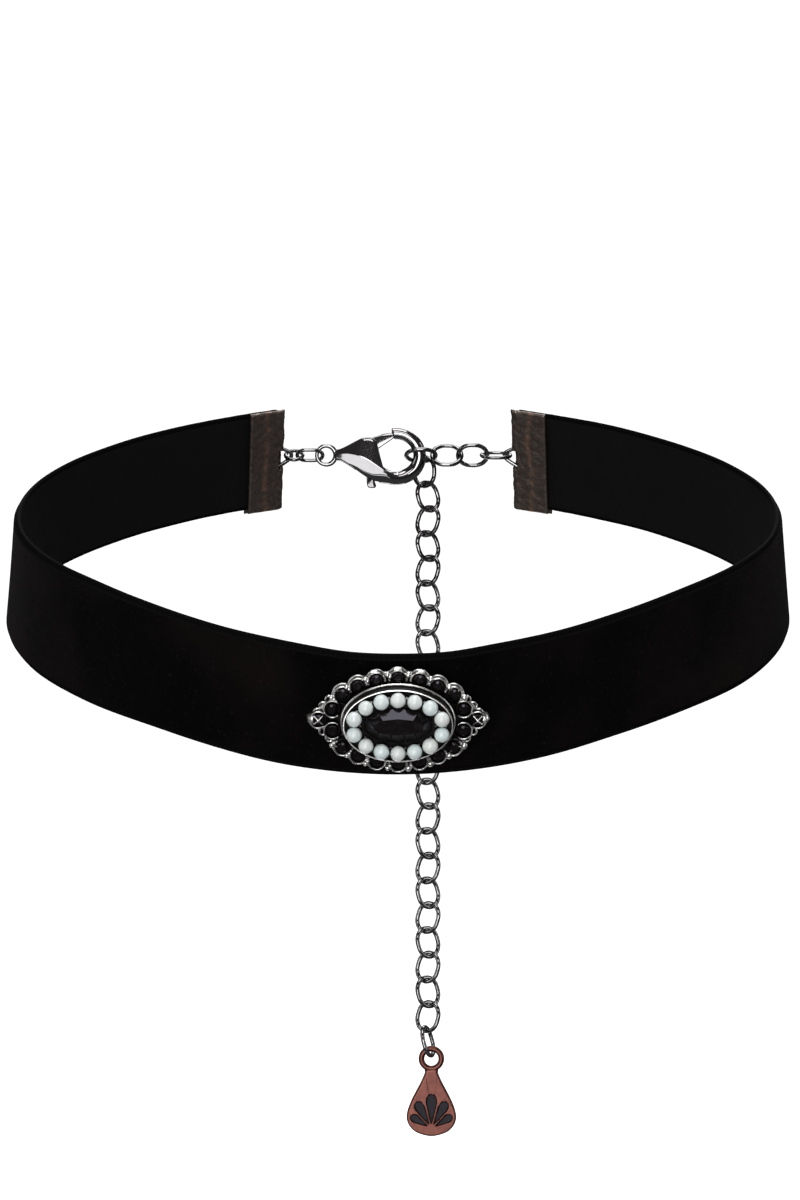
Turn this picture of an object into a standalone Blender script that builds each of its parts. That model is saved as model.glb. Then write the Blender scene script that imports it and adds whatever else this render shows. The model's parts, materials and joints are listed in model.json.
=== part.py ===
"""Velvet choker necklace: a ribbon clamped in two folded ends, a cast ornament with pearls and black
stones, a lobster clasp and an extension chain with a small copper drop. Metres, +Z up, -Y to the front.

The ribbon's loop leans as it does on a neck, low at the front. The origin is the middle of the loop.
"""
import math

import bmesh
import bpy
import numpy as np
from mathutils import Matrix, Vector

# Gaps between pieces
FIT_GAP = 0.0003
SEAT_GAP = 0.0002

# Ribbon
BAND_WIDTH = 0.018
BAND_THICKNESS = 0.0012
BAND_EDGE_ROUND = 0.0003
BAND_STATIONS = 56
BAND_FLARE = math.radians(6.5)
LOOP_WIDTH = 0.120
LOOP_TILT = math.radians(21.5)
# Plan of the loop: turn from the front in degrees, radius as a share of half the loop's width
LOOP_PLAN = (
    (0, 0.880),
    (30, 0.840),
    (60, 0.875),
    (90, 0.986),
    (120, 0.994),
    (150, 0.960),
    (180, 0.969),
)

# Folded ribbon ends
CRIMP_LENGTH = 0.0064
CRIMP_WALL = 0.0006
CRIMP_FOLD = 0.0009
CRIMP_OVERHANG = 0.0003
CRIMP_ROUND = 0.0002
CRIMP_LOOP_REACH = 0.0021
CRIMP_LOOP_SPREAD = 0.0046
CRIMP_LOOP_WIRE = 0.0007

# Small rings and links of the closure
RING_LEFT_LENGTH = 0.0036
RING_LEFT_WIDTH = 0.0040
RING_LEFT_ROLL = math.radians(-60)
LINK_LEFT_LENGTH = 0.0050
LINK_LEFT_WIDTH = 0.0036
LINK_LEFT_ROLL = math.radians(55)
RING_RIGHT_LENGTH = 0.0056
RING_RIGHT_WIDTH = 0.0046
RING_RIGHT_ROLL = math.radians(-75)
RING_WIRE = 0.00065

# Extension chain
LINK_LENGTH = 0.00575
LINK_WIDTH = 0.0051
LINK_WIRE = 0.00075
LINK_SINK = 0.00015
LINK_TURN = math.radians(40)
HOOKED_LINK_ROLL = math.radians(65)
HANGING_LINKS = 24
LAST_LINK_TURN = math.radians(72)
HOOKED_LINK_SLACK = 0.0008
HANG_ASIDE = 0.0012
CHAIN_ZIGZAG = 0.0006
LINK_CORNERS = 10
EYE_CORNERS = 14

# Lobster clasp, measured from its lever's pivot: X to the hook, Z up
CLASP_THICKNESS = 0.0036
CLASP_ROUND = 0.0004
CLASP_EYE_AT = -0.0075
CLASP_EYE_RADIUS = 0.0016
CLASP_EYE_WIRE = 0.00075
CLASP_NECK_HEIGHT = 0.0020
CLASP_SHOULDER = 0.0031
HOOK_AT = 0.0043
HOOK_HALF_LENGTH = 0.0052
HOOK_HALF_HEIGHT = 0.0049
HOOK_BAR = 0.0022
HOOK_DROP = -0.0002
HOOK_TIP_TURN = math.radians(97)
LEVER_THICKNESS = 0.0014
LEVER_REACH = 0.0051
LEVER_TAIL = 0.0056
PIVOT_RADIUS = 0.0004
LEVER_BOSS = 0.00115

# Copper drop
CHARM_THICKNESS = 0.0014
CHARM_WIDTH = 0.0084
CHARM_DROP_LENGTH = 0.0110
CHARM_NECK_WIDTH = 0.0021
CHARM_EYE_RADIUS = 0.0017
CHARM_EYE_WIRE = 0.0010
CHARM_RELIEF = 0.0003
CHARM_ROUND = 0.0002

# Ornament, measured on its back: X to the right, Y up the ribbon, Z off the ribbon
PLATE_LENGTH = 0.0236
PLATE_HEIGHT = 0.0132
PLATE_THICKNESS = 0.0010
STONE_RADIUS = 0.00085
CUP_WALL = 0.00025
CUP_HEIGHT = 0.0021
BEZEL_RATIO = 1.46
BEZEL_HALF_HEIGHT = 0.0052
BEZEL_WALL = 0.0003
BEZEL_RIM = 0.0050
FLANGE_WIDTH = 0.0003
FLANGE_BOTTOM = 0.0028
FLANGE_TOP = 0.0032
TOWER_INSET = 0.0004
PEARL_FLOOR = 0.0042
PEARL_RADIUS = 0.0010
PEARL_COUNT = 14
CENTRE_STONE_HALF_HEIGHT = 0.00255
CENTRE_STONE_CROWN = 0.0009
CENTRE_STONE_PAVILION = 0.0013
CENTRE_STONE_GIRDLE = 0.0002
CENTRE_STONE_FACETS = 12
BEAD_RADIUS = 0.00045
BEAD_LEAN = math.radians(23)
NUGGET_RADIUS = 0.0007
DRUM_CORNERS = 10

# Cups on the upper and lower rims: distance from the middle as a share of half the plate's length
RIM_CUPS = (0.0, 0.25, 0.465, 0.645)
# Cups at the sides: across and up, as shares of half the plate's length and height
SIDE_CUPS = ((0.765, 0.235), (0.930, 0.0))


def clear_scene():
    """Remove what the file holds at the start."""
    for item in list(bpy.data.objects):
        bpy.data.objects.remove(item, do_unlink=True)


def new_collection(name):
    """A collection under the scene's own."""
    collection = bpy.data.collections.new(name)
    bpy.context.scene.collection.children.link(collection)
    return collection


def material(name, colour, roughness, metallic):
    """A Principled material of one finish."""
    made = bpy.data.materials.new(name)
    made.use_nodes = True
    shader = made.node_tree.nodes["Principled BSDF"]
    shader.inputs["Base Color"].default_value = (*colour, 1.0)
    shader.inputs["Roughness"].default_value = roughness
    shader.inputs["Metallic"].default_value = metallic
    made.diffuse_color = (*colour, 1.0)
    return made


clear_scene()
PARTS = new_collection("choker_necklace")
CUTTERS = new_collection("choker_necklace_cutters")
VELVET = material("black_velvet", (0.006, 0.006, 0.007), 0.95, 0.0)
BRONZE = material("dark_bronze", (0.060, 0.042, 0.034), 0.50, 1.0)
GUNMETAL = material("gunmetal", (0.180, 0.175, 0.175), 0.22, 1.0)
SILVER = material("antique_silver", (0.520, 0.510, 0.500), 0.32, 1.0)
COPPER = material("antique_copper", (0.420, 0.210, 0.160), 0.40, 1.0)
PEARL = material("pearl", (0.780, 0.790, 0.760), 0.22, 0.0)
BLACK_GLASS = material("black_glass", (0.012, 0.011, 0.013), 0.08, 0.0)


def evaluated_mesh(obj):
    """The mesh that an object's modifiers or curve settings give."""
    bpy.context.view_layer.update()
    return bpy.data.meshes.new_from_object(obj.evaluated_get(bpy.context.evaluated_depsgraph_get()))


def weld(mesh):
    """Join points that lie on each other and turn the faces outwards."""
    shape = bmesh.new()
    shape.from_mesh(mesh)
    bmesh.ops.remove_doubles(shape, verts=shape.verts, dist=0.000001)
    bmesh.ops.recalc_face_normals(shape, faces=shape.faces)
    shape.to_mesh(mesh)
    shape.free()


def add_object(name, mesh, finish):
    """A mesh object with one finish, in the parts' collection."""
    obj = bpy.data.objects.new(name, mesh)
    mesh.materials.clear()
    mesh.materials.append(finish)
    PARTS.objects.link(obj)
    return obj


def as_tool(obj, carrier, collection):
    """Keep an object as a cutter or an addition that stays with the piece it shapes."""
    for old in list(obj.users_collection):
        old.objects.unlink(obj)
    collection.objects.link(obj)
    obj.parent = carrier
    obj.hide_render = True
    obj.display_type = "WIRE"


def shape_with(carrier, name, tools, operation):
    """Add or cut all the tools of one kind in one Boolean."""
    group = bpy.data.collections.new(name)
    CUTTERS.children.link(group)
    for tool in tools:
        as_tool(tool, carrier, group)
    boolean = carrier.modifiers.new(name, "BOOLEAN")
    boolean.operation = operation
    boolean.operand_type = "COLLECTION"
    boolean.collection = group
    boolean.solver = "EXACT"


def outline_solid(name, points, thickness, finish):
    """A flat outline in X and Z, as thick as given along Y, with its middle at Y = 0."""
    curve = bpy.data.curves.new(name, "CURVE")
    curve.dimensions = "2D"
    curve.fill_mode = "BOTH"
    curve.extrude = thickness / 2
    spline = curve.splines.new("POLY")
    spline.points.add(len(points) - 1)
    for point, (x, z) in zip(spline.points, points):
        point.co = (x, z, 0.0, 1.0)
    spline.use_cyclic_u = True
    source = bpy.data.objects.new(name + "_outline", curve)
    PARTS.objects.link(source)
    mesh = evaluated_mesh(source)
    bpy.data.objects.remove(source, do_unlink=True)
    mesh.transform(Matrix.Rotation(math.radians(90), 4, "X"))
    weld(mesh)
    return add_object(name, mesh, finish)


def wire_mesh(points, wire, cyclic=True):
    """A six-sided wire along points, as a mesh."""
    curve = bpy.data.curves.new("wire", "CURVE")
    curve.dimensions = "3D"
    curve.bevel_depth = wire / 2
    curve.bevel_resolution = 1
    curve.use_fill_caps = not cyclic
    spline = curve.splines.new("POLY")
    spline.points.add(len(points) - 1)
    for point, place in zip(spline.points, points):
        point.co = (*place, 1.0)
    spline.use_cyclic_u = cyclic
    source = bpy.data.objects.new("wire_path", curve)
    PARTS.objects.link(source)
    mesh = evaluated_mesh(source)
    bpy.data.objects.remove(source, do_unlink=True)
    weld(mesh)
    return mesh


def turned(name, profile, steps, finish):
    """A profile of (radius, height), outwards and down, turned about Z."""
    mesh = bpy.data.meshes.new(name)
    shape = bmesh.new()
    corners = [shape.verts.new((radius, 0.0, height)) for radius, height in profile]
    for first, second in zip(corners, corners[1:]):
        shape.edges.new((first, second))
    shape.to_mesh(mesh)
    shape.free()
    source = add_object(name + "_profile", mesh, finish)
    screw = source.modifiers.new("turn", "SCREW")
    screw.steps = steps
    screw.render_steps = steps
    screw.use_merge_vertices = True
    screw.merge_threshold = 0.000001
    solid = evaluated_mesh(source)
    bpy.data.objects.remove(source, do_unlink=True)
    weld(solid)
    return add_object(name, solid, finish)


def turned_drum(name, radius, bottom, top):
    """A round drum of silver between two heights, its corners clear of the plate's own axes."""
    drum = turned(
        name, ((0.0, top), (radius, top), (radius, bottom), (0.0, bottom)), DRUM_CORNERS, SILVER
    )
    drum.data.transform(Matrix.Rotation(math.pi / DRUM_CORNERS, 4, "Z"))
    return drum


def repeat(first, places):
    """An object and its copies, numbered, one at each place."""
    name = first.name
    objects = []
    for index, place in enumerate(places):
        obj = first if index == 0 else first.copy()
        if index:
            PARTS.objects.link(obj)
        obj.name = f"{name}_{index + 1:02d}"
        obj.location = place
        objects.append(obj)
    return objects


def ball(name, radius, segments, rings, finish):
    """A round bead."""
    mesh = bpy.data.meshes.new(name)
    shape = bmesh.new()
    bmesh.ops.create_uvsphere(shape, u_segments=segments, v_segments=rings, radius=radius)
    shape.to_mesh(mesh)
    shape.free()
    mesh.shade_smooth()
    return add_object(name, mesh, finish)


def block(name, size, finish):
    """A box of the given size about its own middle."""
    mesh = bpy.data.meshes.new(name)
    shape = bmesh.new()
    bmesh.ops.create_cube(shape, size=1.0)
    shape.to_mesh(mesh)
    shape.free()
    mesh.transform(Matrix.Diagonal((*size, 1.0)))
    return add_object(name, mesh, finish)


def bevel(obj, width, segments=1):
    """Round an object's sharp edges."""
    rounding = obj.modifiers.new("rounding", "BEVEL")
    rounding.width = width
    rounding.segments = segments
    rounding.limit_method = "ANGLE"
    rounding.angle_limit = math.radians(50)


def bake(obj):
    """Replace an object's mesh by what its modifiers give."""
    mesh = evaluated_mesh(obj)
    obj.modifiers.clear()
    obj.data = mesh
    return obj


def ellipse(centre, half_axes, start, end, count):
    """Points along an ellipse from one angle to another, both included."""
    angles = [start + (end - start) * step / (count - 1) for step in range(count)]
    return [
        (centre[0] + half_axes[0] * math.cos(angle), centre[1] + half_axes[1] * math.sin(angle))
        for angle in angles
    ]


def circle(radius):
    """Points of a closed ring in the XZ plane."""
    round_points = ellipse((0.0, 0.0), (radius, radius), 0.0, math.tau, EYE_CORNERS + 1)
    return [(x, 0.0, z) for x, z in round_points[1:]]


def stadium(length, width, wire):
    """The middle line of an oval link of the given outer size, long along Z, in the XZ plane."""
    radius = (width - wire) / 2
    half_run = (length - width) / 2
    per_end = LINK_CORNERS // 2
    points = []
    for end in (1, -1):
        for step in range(per_end):
            angle = math.pi * (step + 0.5) / per_end
            across = radius * math.cos(angle)
            along = half_run + radius * math.sin(angle)
            points.append((end * across, 0.0, end * along))
    return points


def link_frame(centre, along, roll):
    """A link's frame: long axis along a direction, turned about it by roll from facing the front."""
    axis = Vector(along).normalized()
    facing = Vector((0.0, 1.0, 0.0))
    facing = (facing - axis * facing.dot(axis)).normalized()
    side = facing.cross(axis)
    frame = Matrix((side, facing, axis)).transposed().to_4x4()
    frame.translation = Vector(centre)
    return frame @ Matrix.Rotation(roll, 4, "Z")


# Plan of the loop
PLAN_TURNS = np.radians([turn for turn, share in LOOP_PLAN])
PLAN_ORDERS = np.arange(len(LOOP_PLAN))
PLAN_WAVES = np.linalg.solve(
    np.cos(np.outer(PLAN_TURNS, PLAN_ORDERS)), np.array([share for turn, share in LOOP_PLAN])
)


def plan_point(turn):
    """Where the middle of the ribbon is in plan, at a turn from the front towards +X."""
    radius = LOOP_WIDTH / 2 * float(PLAN_WAVES @ np.cos(PLAN_ORDERS * turn))
    return Vector((radius * math.sin(turn), -radius * math.cos(turn), 0.0))


def plan_heading(turn):
    """The unit direction in which the plan runs as the turn grows."""
    step = math.radians(0.05)
    return (plan_point(turn + step) - plan_point(turn - step)).normalized()


def ribbon_frame(turn):
    """The ribbon's own axes at a turn: X along the ribbon, Y inwards, Z up its width."""
    along = plan_heading(turn)
    up = Vector((0.0, 0.0, 1.0))
    inwards = up.cross(along)
    leaned_up = up * math.cos(BAND_FLARE) + inwards * math.sin(BAND_FLARE)
    frame = Matrix((along, leaned_up.cross(along), leaned_up)).transposed().to_4x4()
    frame.translation = plan_point(turn)
    return frame


def solve(function, target, low, high):
    """The argument between low and high at which a steady function meets its target."""
    rising = function(high) > function(low)
    for _ in range(60):
        middle = (low + high) / 2
        if (function(middle) < target) == rising:
            low = middle
        else:
            high = middle
    return (low + high) / 2


# The closure's pieces in a row along X, from the left loop's apex wire to the right one's
def hold(first_wire, second_wire):
    """Distance between the middles of two wires that hold each other."""
    return (first_wire + second_wire) / 2 + FIT_GAP


LINK_PITCH = LINK_LENGTH - 2 * LINK_WIRE + LINK_SINK
HOOK_INNER_LENGTH = HOOK_HALF_LENGTH - HOOK_BAR
HOOK_INNER_HEIGHT = HOOK_HALF_HEIGHT - HOOK_BAR
LEFT_RING_AT = (RING_LEFT_LENGTH - RING_WIRE) / 2 - hold(CRIMP_LOOP_WIRE, RING_WIRE)
LEFT_LINK_AT = (
    LEFT_RING_AT
    + (RING_LEFT_LENGTH - RING_WIRE) / 2
    - hold(RING_WIRE, RING_WIRE)
    + (LINK_LEFT_LENGTH - RING_WIRE) / 2
)
EYE_AT = (
    LEFT_LINK_AT
    + (LINK_LEFT_LENGTH - RING_WIRE) / 2
    - hold(RING_WIRE, CLASP_EYE_WIRE)
    + CLASP_EYE_RADIUS
)
PIVOT_AT = EYE_AT - CLASP_EYE_AT
HOOKED_LINK_AT = PIVOT_AT + HOOK_AT + HOOK_INNER_LENGTH - HOOKED_LINK_SLACK - LINK_WIRE + LINK_LENGTH / 2
LAST_ROW_LINK_AT = HOOKED_LINK_AT + 2 * LINK_PITCH
RIGHT_RING_AT = (
    LAST_ROW_LINK_AT
    + (LINK_LENGTH - LINK_WIRE) / 2
    - hold(LINK_WIRE, RING_WIRE)
    + (RING_RIGHT_LENGTH - RING_WIRE) / 2
)
CLOSURE_SPAN = RIGHT_RING_AT + (RING_RIGHT_LENGTH - RING_WIRE) / 2 - hold(RING_WIRE, CRIMP_LOOP_WIRE)
APEX_OUT = CRIMP_LENGTH / 2 + CRIMP_LOOP_REACH - CRIMP_LOOP_WIRE / 2


def apex_point(turn):
    """Where the apex wire of a crimp's loop lies, for a crimp whose middle is at a turn."""
    return plan_point(turn) + plan_heading(turn) * APEX_OUT


CRIMP_TURN = solve(
    lambda turn: apex_point(turn).x, CLOSURE_SPAN / 2, math.radians(120), math.radians(179)
)
TILT = Matrix.Rotation(LOOP_TILT, 4, "X")
CLOSURE_LEFT = TILT @ Vector((-CLOSURE_SPAN / 2, apex_point(CRIMP_TURN).y, 0.0))


def closure_point(along):
    """A point on the closure's line, at a distance from the left loop's apex wire."""
    return CLOSURE_LEFT + Vector((along, 0.0, 0.0))


def make_frames():
    """The empties that carry the leaning loop and the ornament on its front."""
    loop = bpy.data.objects.new("leaning_loop", None)
    loop.rotation_euler = (LOOP_TILT, 0.0, 0.0)
    ornament = bpy.data.objects.new("ornament_place", None)
    ornament.parent = loop
    lean = math.radians(90) - BAND_FLARE
    off_ribbon = Vector((0.0, -math.cos(BAND_FLARE), math.sin(BAND_FLARE)))
    ornament.location = plan_point(0.0) + off_ribbon * (BAND_THICKNESS / 2 + FIT_GAP)
    ornament.rotation_euler = (lean, 0.0, 0.0)
    for empty in (loop, ornament):
        PARTS.objects.link(empty)
    return loop, ornament


def make_band(loop):
    """The velvet ribbon, one bent strip whose ends lie in the crimps."""
    crimp_inverse = ribbon_frame(CRIMP_TURN).inverted()
    slot_end = CRIMP_LENGTH / 2 - CRIMP_FOLD - FIT_GAP
    end_turn = solve(
        lambda turn: (crimp_inverse @ plan_point(turn)).x,
        slot_end,
        CRIMP_TURN - math.radians(5),
        CRIMP_TURN + math.radians(8),
    )
    mesh = bpy.data.meshes.new("velvet_band")
    strip = bmesh.new()
    rows = []
    for step in range(BAND_STATIONS + 1):
        turn = end_turn * (2 * step / BAND_STATIONS - 1)
        frame = ribbon_frame(turn)
        edges = [frame @ Vector((0.0, 0.0, side * BAND_WIDTH / 2)) for side in (-1, 1)]
        rows.append([strip.verts.new(edge) for edge in edges])
    for first, second in zip(rows, rows[1:]):
        strip.faces.new((first[0], second[0], second[1], first[1]))
    strip.to_mesh(mesh)
    strip.free()
    band = add_object("velvet_band", mesh, VELVET)
    thicken = band.modifiers.new("thickness", "SOLIDIFY")
    thicken.thickness = BAND_THICKNESS
    thicken.offset = 0.0
    bevel(band, BAND_EDGE_ROUND)
    band.parent = loop


# Half of a crimp's soldered loop, from foot to apex: way out to the apex, and half spread, as shares
CRIMP_LOOP_BEND = ((0.0, 1.0), (0.55, 0.62), (0.88, 0.34), (1.0, 0.12))


def make_crimp(name, side, loop):
    """A folded plate that clamps the ribbon's end, with a triangular loop soldered to its fold."""
    slot_width = BAND_THICKNESS + 2 * FIT_GAP
    depth = slot_width + 2 * CRIMP_WALL
    height = BAND_WIDTH + 2 * CRIMP_OVERHANG
    crimp = block(name, (CRIMP_LENGTH, depth, height), BRONZE)
    bevel(crimp, CRIMP_ROUND)
    bake(crimp)
    slot = block(name + "_slot", (CRIMP_LENGTH, slot_width, height * 1.2), BRONZE)
    slot.location.x = -CRIMP_FOLD
    base = CRIMP_LENGTH / 2 - CRIMP_FOLD / 2
    half = (CRIMP_LOOP_SPREAD - CRIMP_LOOP_WIRE) / 2
    path = [
        (base + (APEX_OUT - base) * out, 0.0, up * half * spread)
        for up, corners in ((1, CRIMP_LOOP_BEND), (-1, CRIMP_LOOP_BEND[::-1]))
        for out, spread in corners
    ]
    wire = add_object(name + "_wire", wire_mesh(path, CRIMP_LOOP_WIRE, cyclic=False), BRONZE)
    shape_with(crimp, name + "_cuts", [slot], "DIFFERENCE")
    shape_with(crimp, name + "_loop", [wire], "UNION")
    frame = ribbon_frame(CRIMP_TURN)
    if side < 0:
        frame = Matrix.Diagonal((-1.0, 1.0, 1.0, 1.0)) @ frame @ Matrix.Diagonal((1.0, -1.0, 1.0, 1.0))
    crimp.parent = loop
    crimp.matrix_local = frame


def make_oval(name, along, roll, length, width):
    """One separate ring or link of the closure, at a distance from the left loop's apex wire."""
    oval = add_object(name, wire_mesh(stadium(length, width, RING_WIRE), RING_WIRE), GUNMETAL)
    oval.matrix_world = link_frame(closure_point(along), (1.0, 0.0, 0.0), roll)


def chain_places():
    """The frame of each link of the chain, from the ring's side through the hook and down to the drop."""
    places = []
    for step, roll in ((2, LINK_TURN), (1, -LINK_TURN), (0, HOOKED_LINK_ROLL)):
        centre = closure_point(HOOKED_LINK_AT + step * LINK_PITCH)
        places.append(link_frame(centre, (1.0, 0.0, 0.0), roll))
    side_reach = (LINK_WIDTH - LINK_WIRE) / 2
    hooked = closure_point(HOOKED_LINK_AT)
    carrier = hooked + Vector(
        (0.0, side_reach * math.sin(HOOKED_LINK_ROLL), -side_reach * math.cos(HOOKED_LINK_ROLL))
    )
    joint = carrier + Vector((CHAIN_ZIGZAG, 0.0, (LINK_WIRE - LINK_SINK) / 2))
    fall = math.sqrt(LINK_PITCH**2 - (2 * CHAIN_ZIGZAG) ** 2)
    middle_x = carrier.x + HANG_ASIDE
    for index in range(HANGING_LINKS):
        swing = -CHAIN_ZIGZAG if index % 2 == 0 else CHAIN_ZIGZAG
        lower = Vector((middle_x + swing, carrier.y, joint.z - fall))
        turn = LAST_LINK_TURN if index == HANGING_LINKS - 1 else LINK_TURN
        roll = turn if index % 2 == 0 else -turn
        places.append(link_frame((joint + lower) / 2, lower - joint, roll))
        joint = lower
    return places, joint


def make_chain():
    """The extension chain: links through each other, fused where they touch."""
    places = chain_places()[0]
    link = wire_mesh(stadium(LINK_LENGTH, LINK_WIDTH, LINK_WIRE), LINK_WIRE)
    halves = []
    for parity in (0, 1):
        mesh = bpy.data.meshes.new("links")
        group = bmesh.new()
        for place in places[parity::2]:
            copy = link.copy()
            copy.transform(place)
            group.from_mesh(copy)
            bpy.data.meshes.remove(copy)
        group.to_mesh(mesh)
        group.free()
        halves.append(mesh)
    chain = add_object("extension_chain", halves[0], GUNMETAL)
    others = add_object("other_links", halves[1], GUNMETAL)
    shape_with(chain, "fused_links", [others], "UNION")


def clasp_outline():
    """The clasp's side view: hook, belly, neck and shoulder, then back along the opening."""
    centre = (HOOK_AT, HOOK_DROP)
    inner_start = HOOK_TIP_TURN - math.radians(12)
    inner_end = math.radians(-208)
    outer_axes = (HOOK_HALF_LENGTH, HOOK_HALF_HEIGHT)
    outer = ellipse(centre, outer_axes, HOOK_TIP_TURN, math.radians(-100), 18)
    neck = CLASP_EYE_AT + CLASP_EYE_RADIUS + CLASP_EYE_WIRE * 0.2
    half_neck = CLASP_NECK_HEIGHT / 2
    belly = [
        (HOOK_AT * 0.28, HOOK_DROP - HOOK_HALF_HEIGHT * 0.96),
        (-HOOK_AT * 0.18, HOOK_DROP - HOOK_HALF_HEIGHT * 0.79),
        (neck * 0.43, HOOK_DROP - HOOK_HALF_HEIGHT * 0.49),
        (neck * 0.70, -half_neck * 1.4),
        (neck, -half_neck),
    ]
    shoulder = [
        (neck, half_neck),
        (neck * 0.58, CLASP_SHOULDER * 0.66),
        (neck * 0.24, CLASP_SHOULDER),
        (HOOK_AT * 0.06, CLASP_SHOULDER),
    ]
    inner_axes = (HOOK_INNER_LENGTH, HOOK_INNER_HEIGHT)
    inner = ellipse((HOOK_AT, 0.0), inner_axes, inner_end, inner_start, 22)
    return outer + belly + shoulder + inner


# Clasp's thickness along its length: distance from the pivot and thickness, as shares of the hook's
# distance and of the body's thickness
CLASP_SWELL = ((-1.35, 0.48), (-0.35, 1.0), (0.60, 1.0), (1.25, 0.60), (2.20, 0.52))


def swell(obj):
    """Thin the clasp towards its neck and its hook."""
    places = [place * HOOK_AT for place, share in CLASP_SWELL]
    shares = [share for place, share in CLASP_SWELL]
    for corner in obj.data.vertices:
        corner.co.y *= float(np.interp(corner.co.x, places, shares))


def lever_outline(grow=0.0):
    """The lever's side view: gate, boss round the pin and thumb tail."""
    gate_top = math.radians(49)
    gate_low = math.radians(37)
    boss = LEVER_BOSS + grow
    reach = LEVER_REACH + grow
    return [
        (reach * math.cos(gate_low), reach * math.sin(gate_low)),
        (reach * math.cos(gate_top), reach * math.sin(gate_top)),
        (LEVER_REACH * 0.20, LEVER_REACH * 0.64 + grow),
        (-LEVER_BOSS * 0.2 - grow, LEVER_REACH * 0.50 + grow),
        (-boss * 0.90, boss * 0.8),
        (-boss, 0.0),
        (-boss * 0.85, -boss * 0.9),
        (-LEVER_BOSS * 0.60 - grow, -LEVER_TAIL * 0.60),
        (-LEVER_BOSS * 0.45 - grow, -LEVER_TAIL * 0.93),
        (LEVER_BOSS * 0.15, -LEVER_TAIL - grow),
        (LEVER_BOSS * 0.85 + grow, -LEVER_TAIL * 0.95),
        (LEVER_BOSS * 0.62 + grow, -LEVER_TAIL * 0.70),
        (boss * 0.85, -boss * 0.9),
        (boss, 0.0),
        (boss * 1.15, boss * 0.9),
    ]


def pivot_drum(name, radius, reach):
    """A round drum about the lever's pivot, reaching as far to the front as to the back."""
    drum = turned(name, ((0.0, reach), (radius, reach), (radius, -reach), (0.0, -reach)), 12, GUNMETAL)
    drum.data.transform(Matrix.Rotation(math.radians(90), 4, "X"))
    return drum


def make_clasp():
    """The lobster clasp's body: hook, slotted cheeks, pivot pin and eye."""
    body = outline_solid("clasp_body", clasp_outline(), CLASP_THICKNESS, GUNMETAL)
    swell(body)
    bevel(body, CLASP_ROUND)
    bake(body)
    slot_width = LEVER_THICKNESS + 2 * FIT_GAP
    slot_left = -LEVER_BOSS - FIT_GAP
    outline = [
        (slot_left * 0.65, CLASP_SHOULDER * 1.3),
        (slot_left, LEVER_BOSS),
        (slot_left, -LEVER_BOSS * 0.6),
        (slot_left - LEVER_TAIL * 0.24, -LEVER_TAIL * 0.52),
        (slot_left - LEVER_TAIL * 0.30, -LEVER_TAIL * 1.1),
        (LEVER_BOSS + FIT_GAP, -LEVER_TAIL * 1.1),
        (LEVER_BOSS + FIT_GAP, -LEVER_BOSS - FIT_GAP),
        (HOOK_AT * 0.55, -LEVER_BOSS - FIT_GAP),
        (HOOK_AT * 0.55, CLASP_SHOULDER * 1.3),
    ]
    slot = outline_solid("clasp_slot", outline, slot_width, GUNMETAL)
    pin = pivot_drum("clasp_pin", PIVOT_RADIUS, CLASP_THICKNESS * 0.48)
    eye = add_object("clasp_eye", wire_mesh(circle(CLASP_EYE_RADIUS), CLASP_EYE_WIRE), GUNMETAL)
    eye.location.x = CLASP_EYE_AT
    shape_with(body, "clasp_cuts", [slot], "DIFFERENCE")
    shape_with(body, "clasp_additions", [pin, eye], "UNION")
    body.location = closure_point(PIVOT_AT)


def make_lever():
    """The clasp's lever, with a hole for the pin."""
    lever = outline_solid("clasp_lever", lever_outline(), LEVER_THICKNESS, GUNMETAL)
    hole = pivot_drum("lever_hole", PIVOT_RADIUS + FIT_GAP, LEVER_THICKNESS)
    shape_with(lever, "lever_cuts", [hole], "DIFFERENCE")
    lever.location = closure_point(PIVOT_AT)


# Drop's outline from its neck down: distance below the neck and half width, as shares of the drop's length
# and of half its width
DROP_OUTLINE = (
    (0.00, 0.25),
    (0.14, 0.40),
    (0.30, 0.62),
    (0.46, 0.83),
    (0.62, 0.98),
    (0.74, 1.00),
    (0.86, 0.86),
    (0.95, 0.56),
    (1.00, 0.0),
)
# Petals cut into the drop: lean in degrees, length and width as shares of the drop's length and width
PETALS = ((-58, 0.34, 0.13), (-29, 0.45, 0.14), (0, 0.53, 0.15), (29, 0.45, 0.14), (58, 0.34, 0.13))
# Where the petals spread from, below the neck, and how far from there each starts, as shares of the
# drop's length
PETALS_FROM = 0.88
PETAL_START = 0.07
# One edge of a petal: way along it and half width, as shares
PETAL_EDGE = ((0.0, 0.0), (0.25, 0.75), (0.60, 1.0), (0.85, 0.65), (1.0, 0.0))


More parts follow.
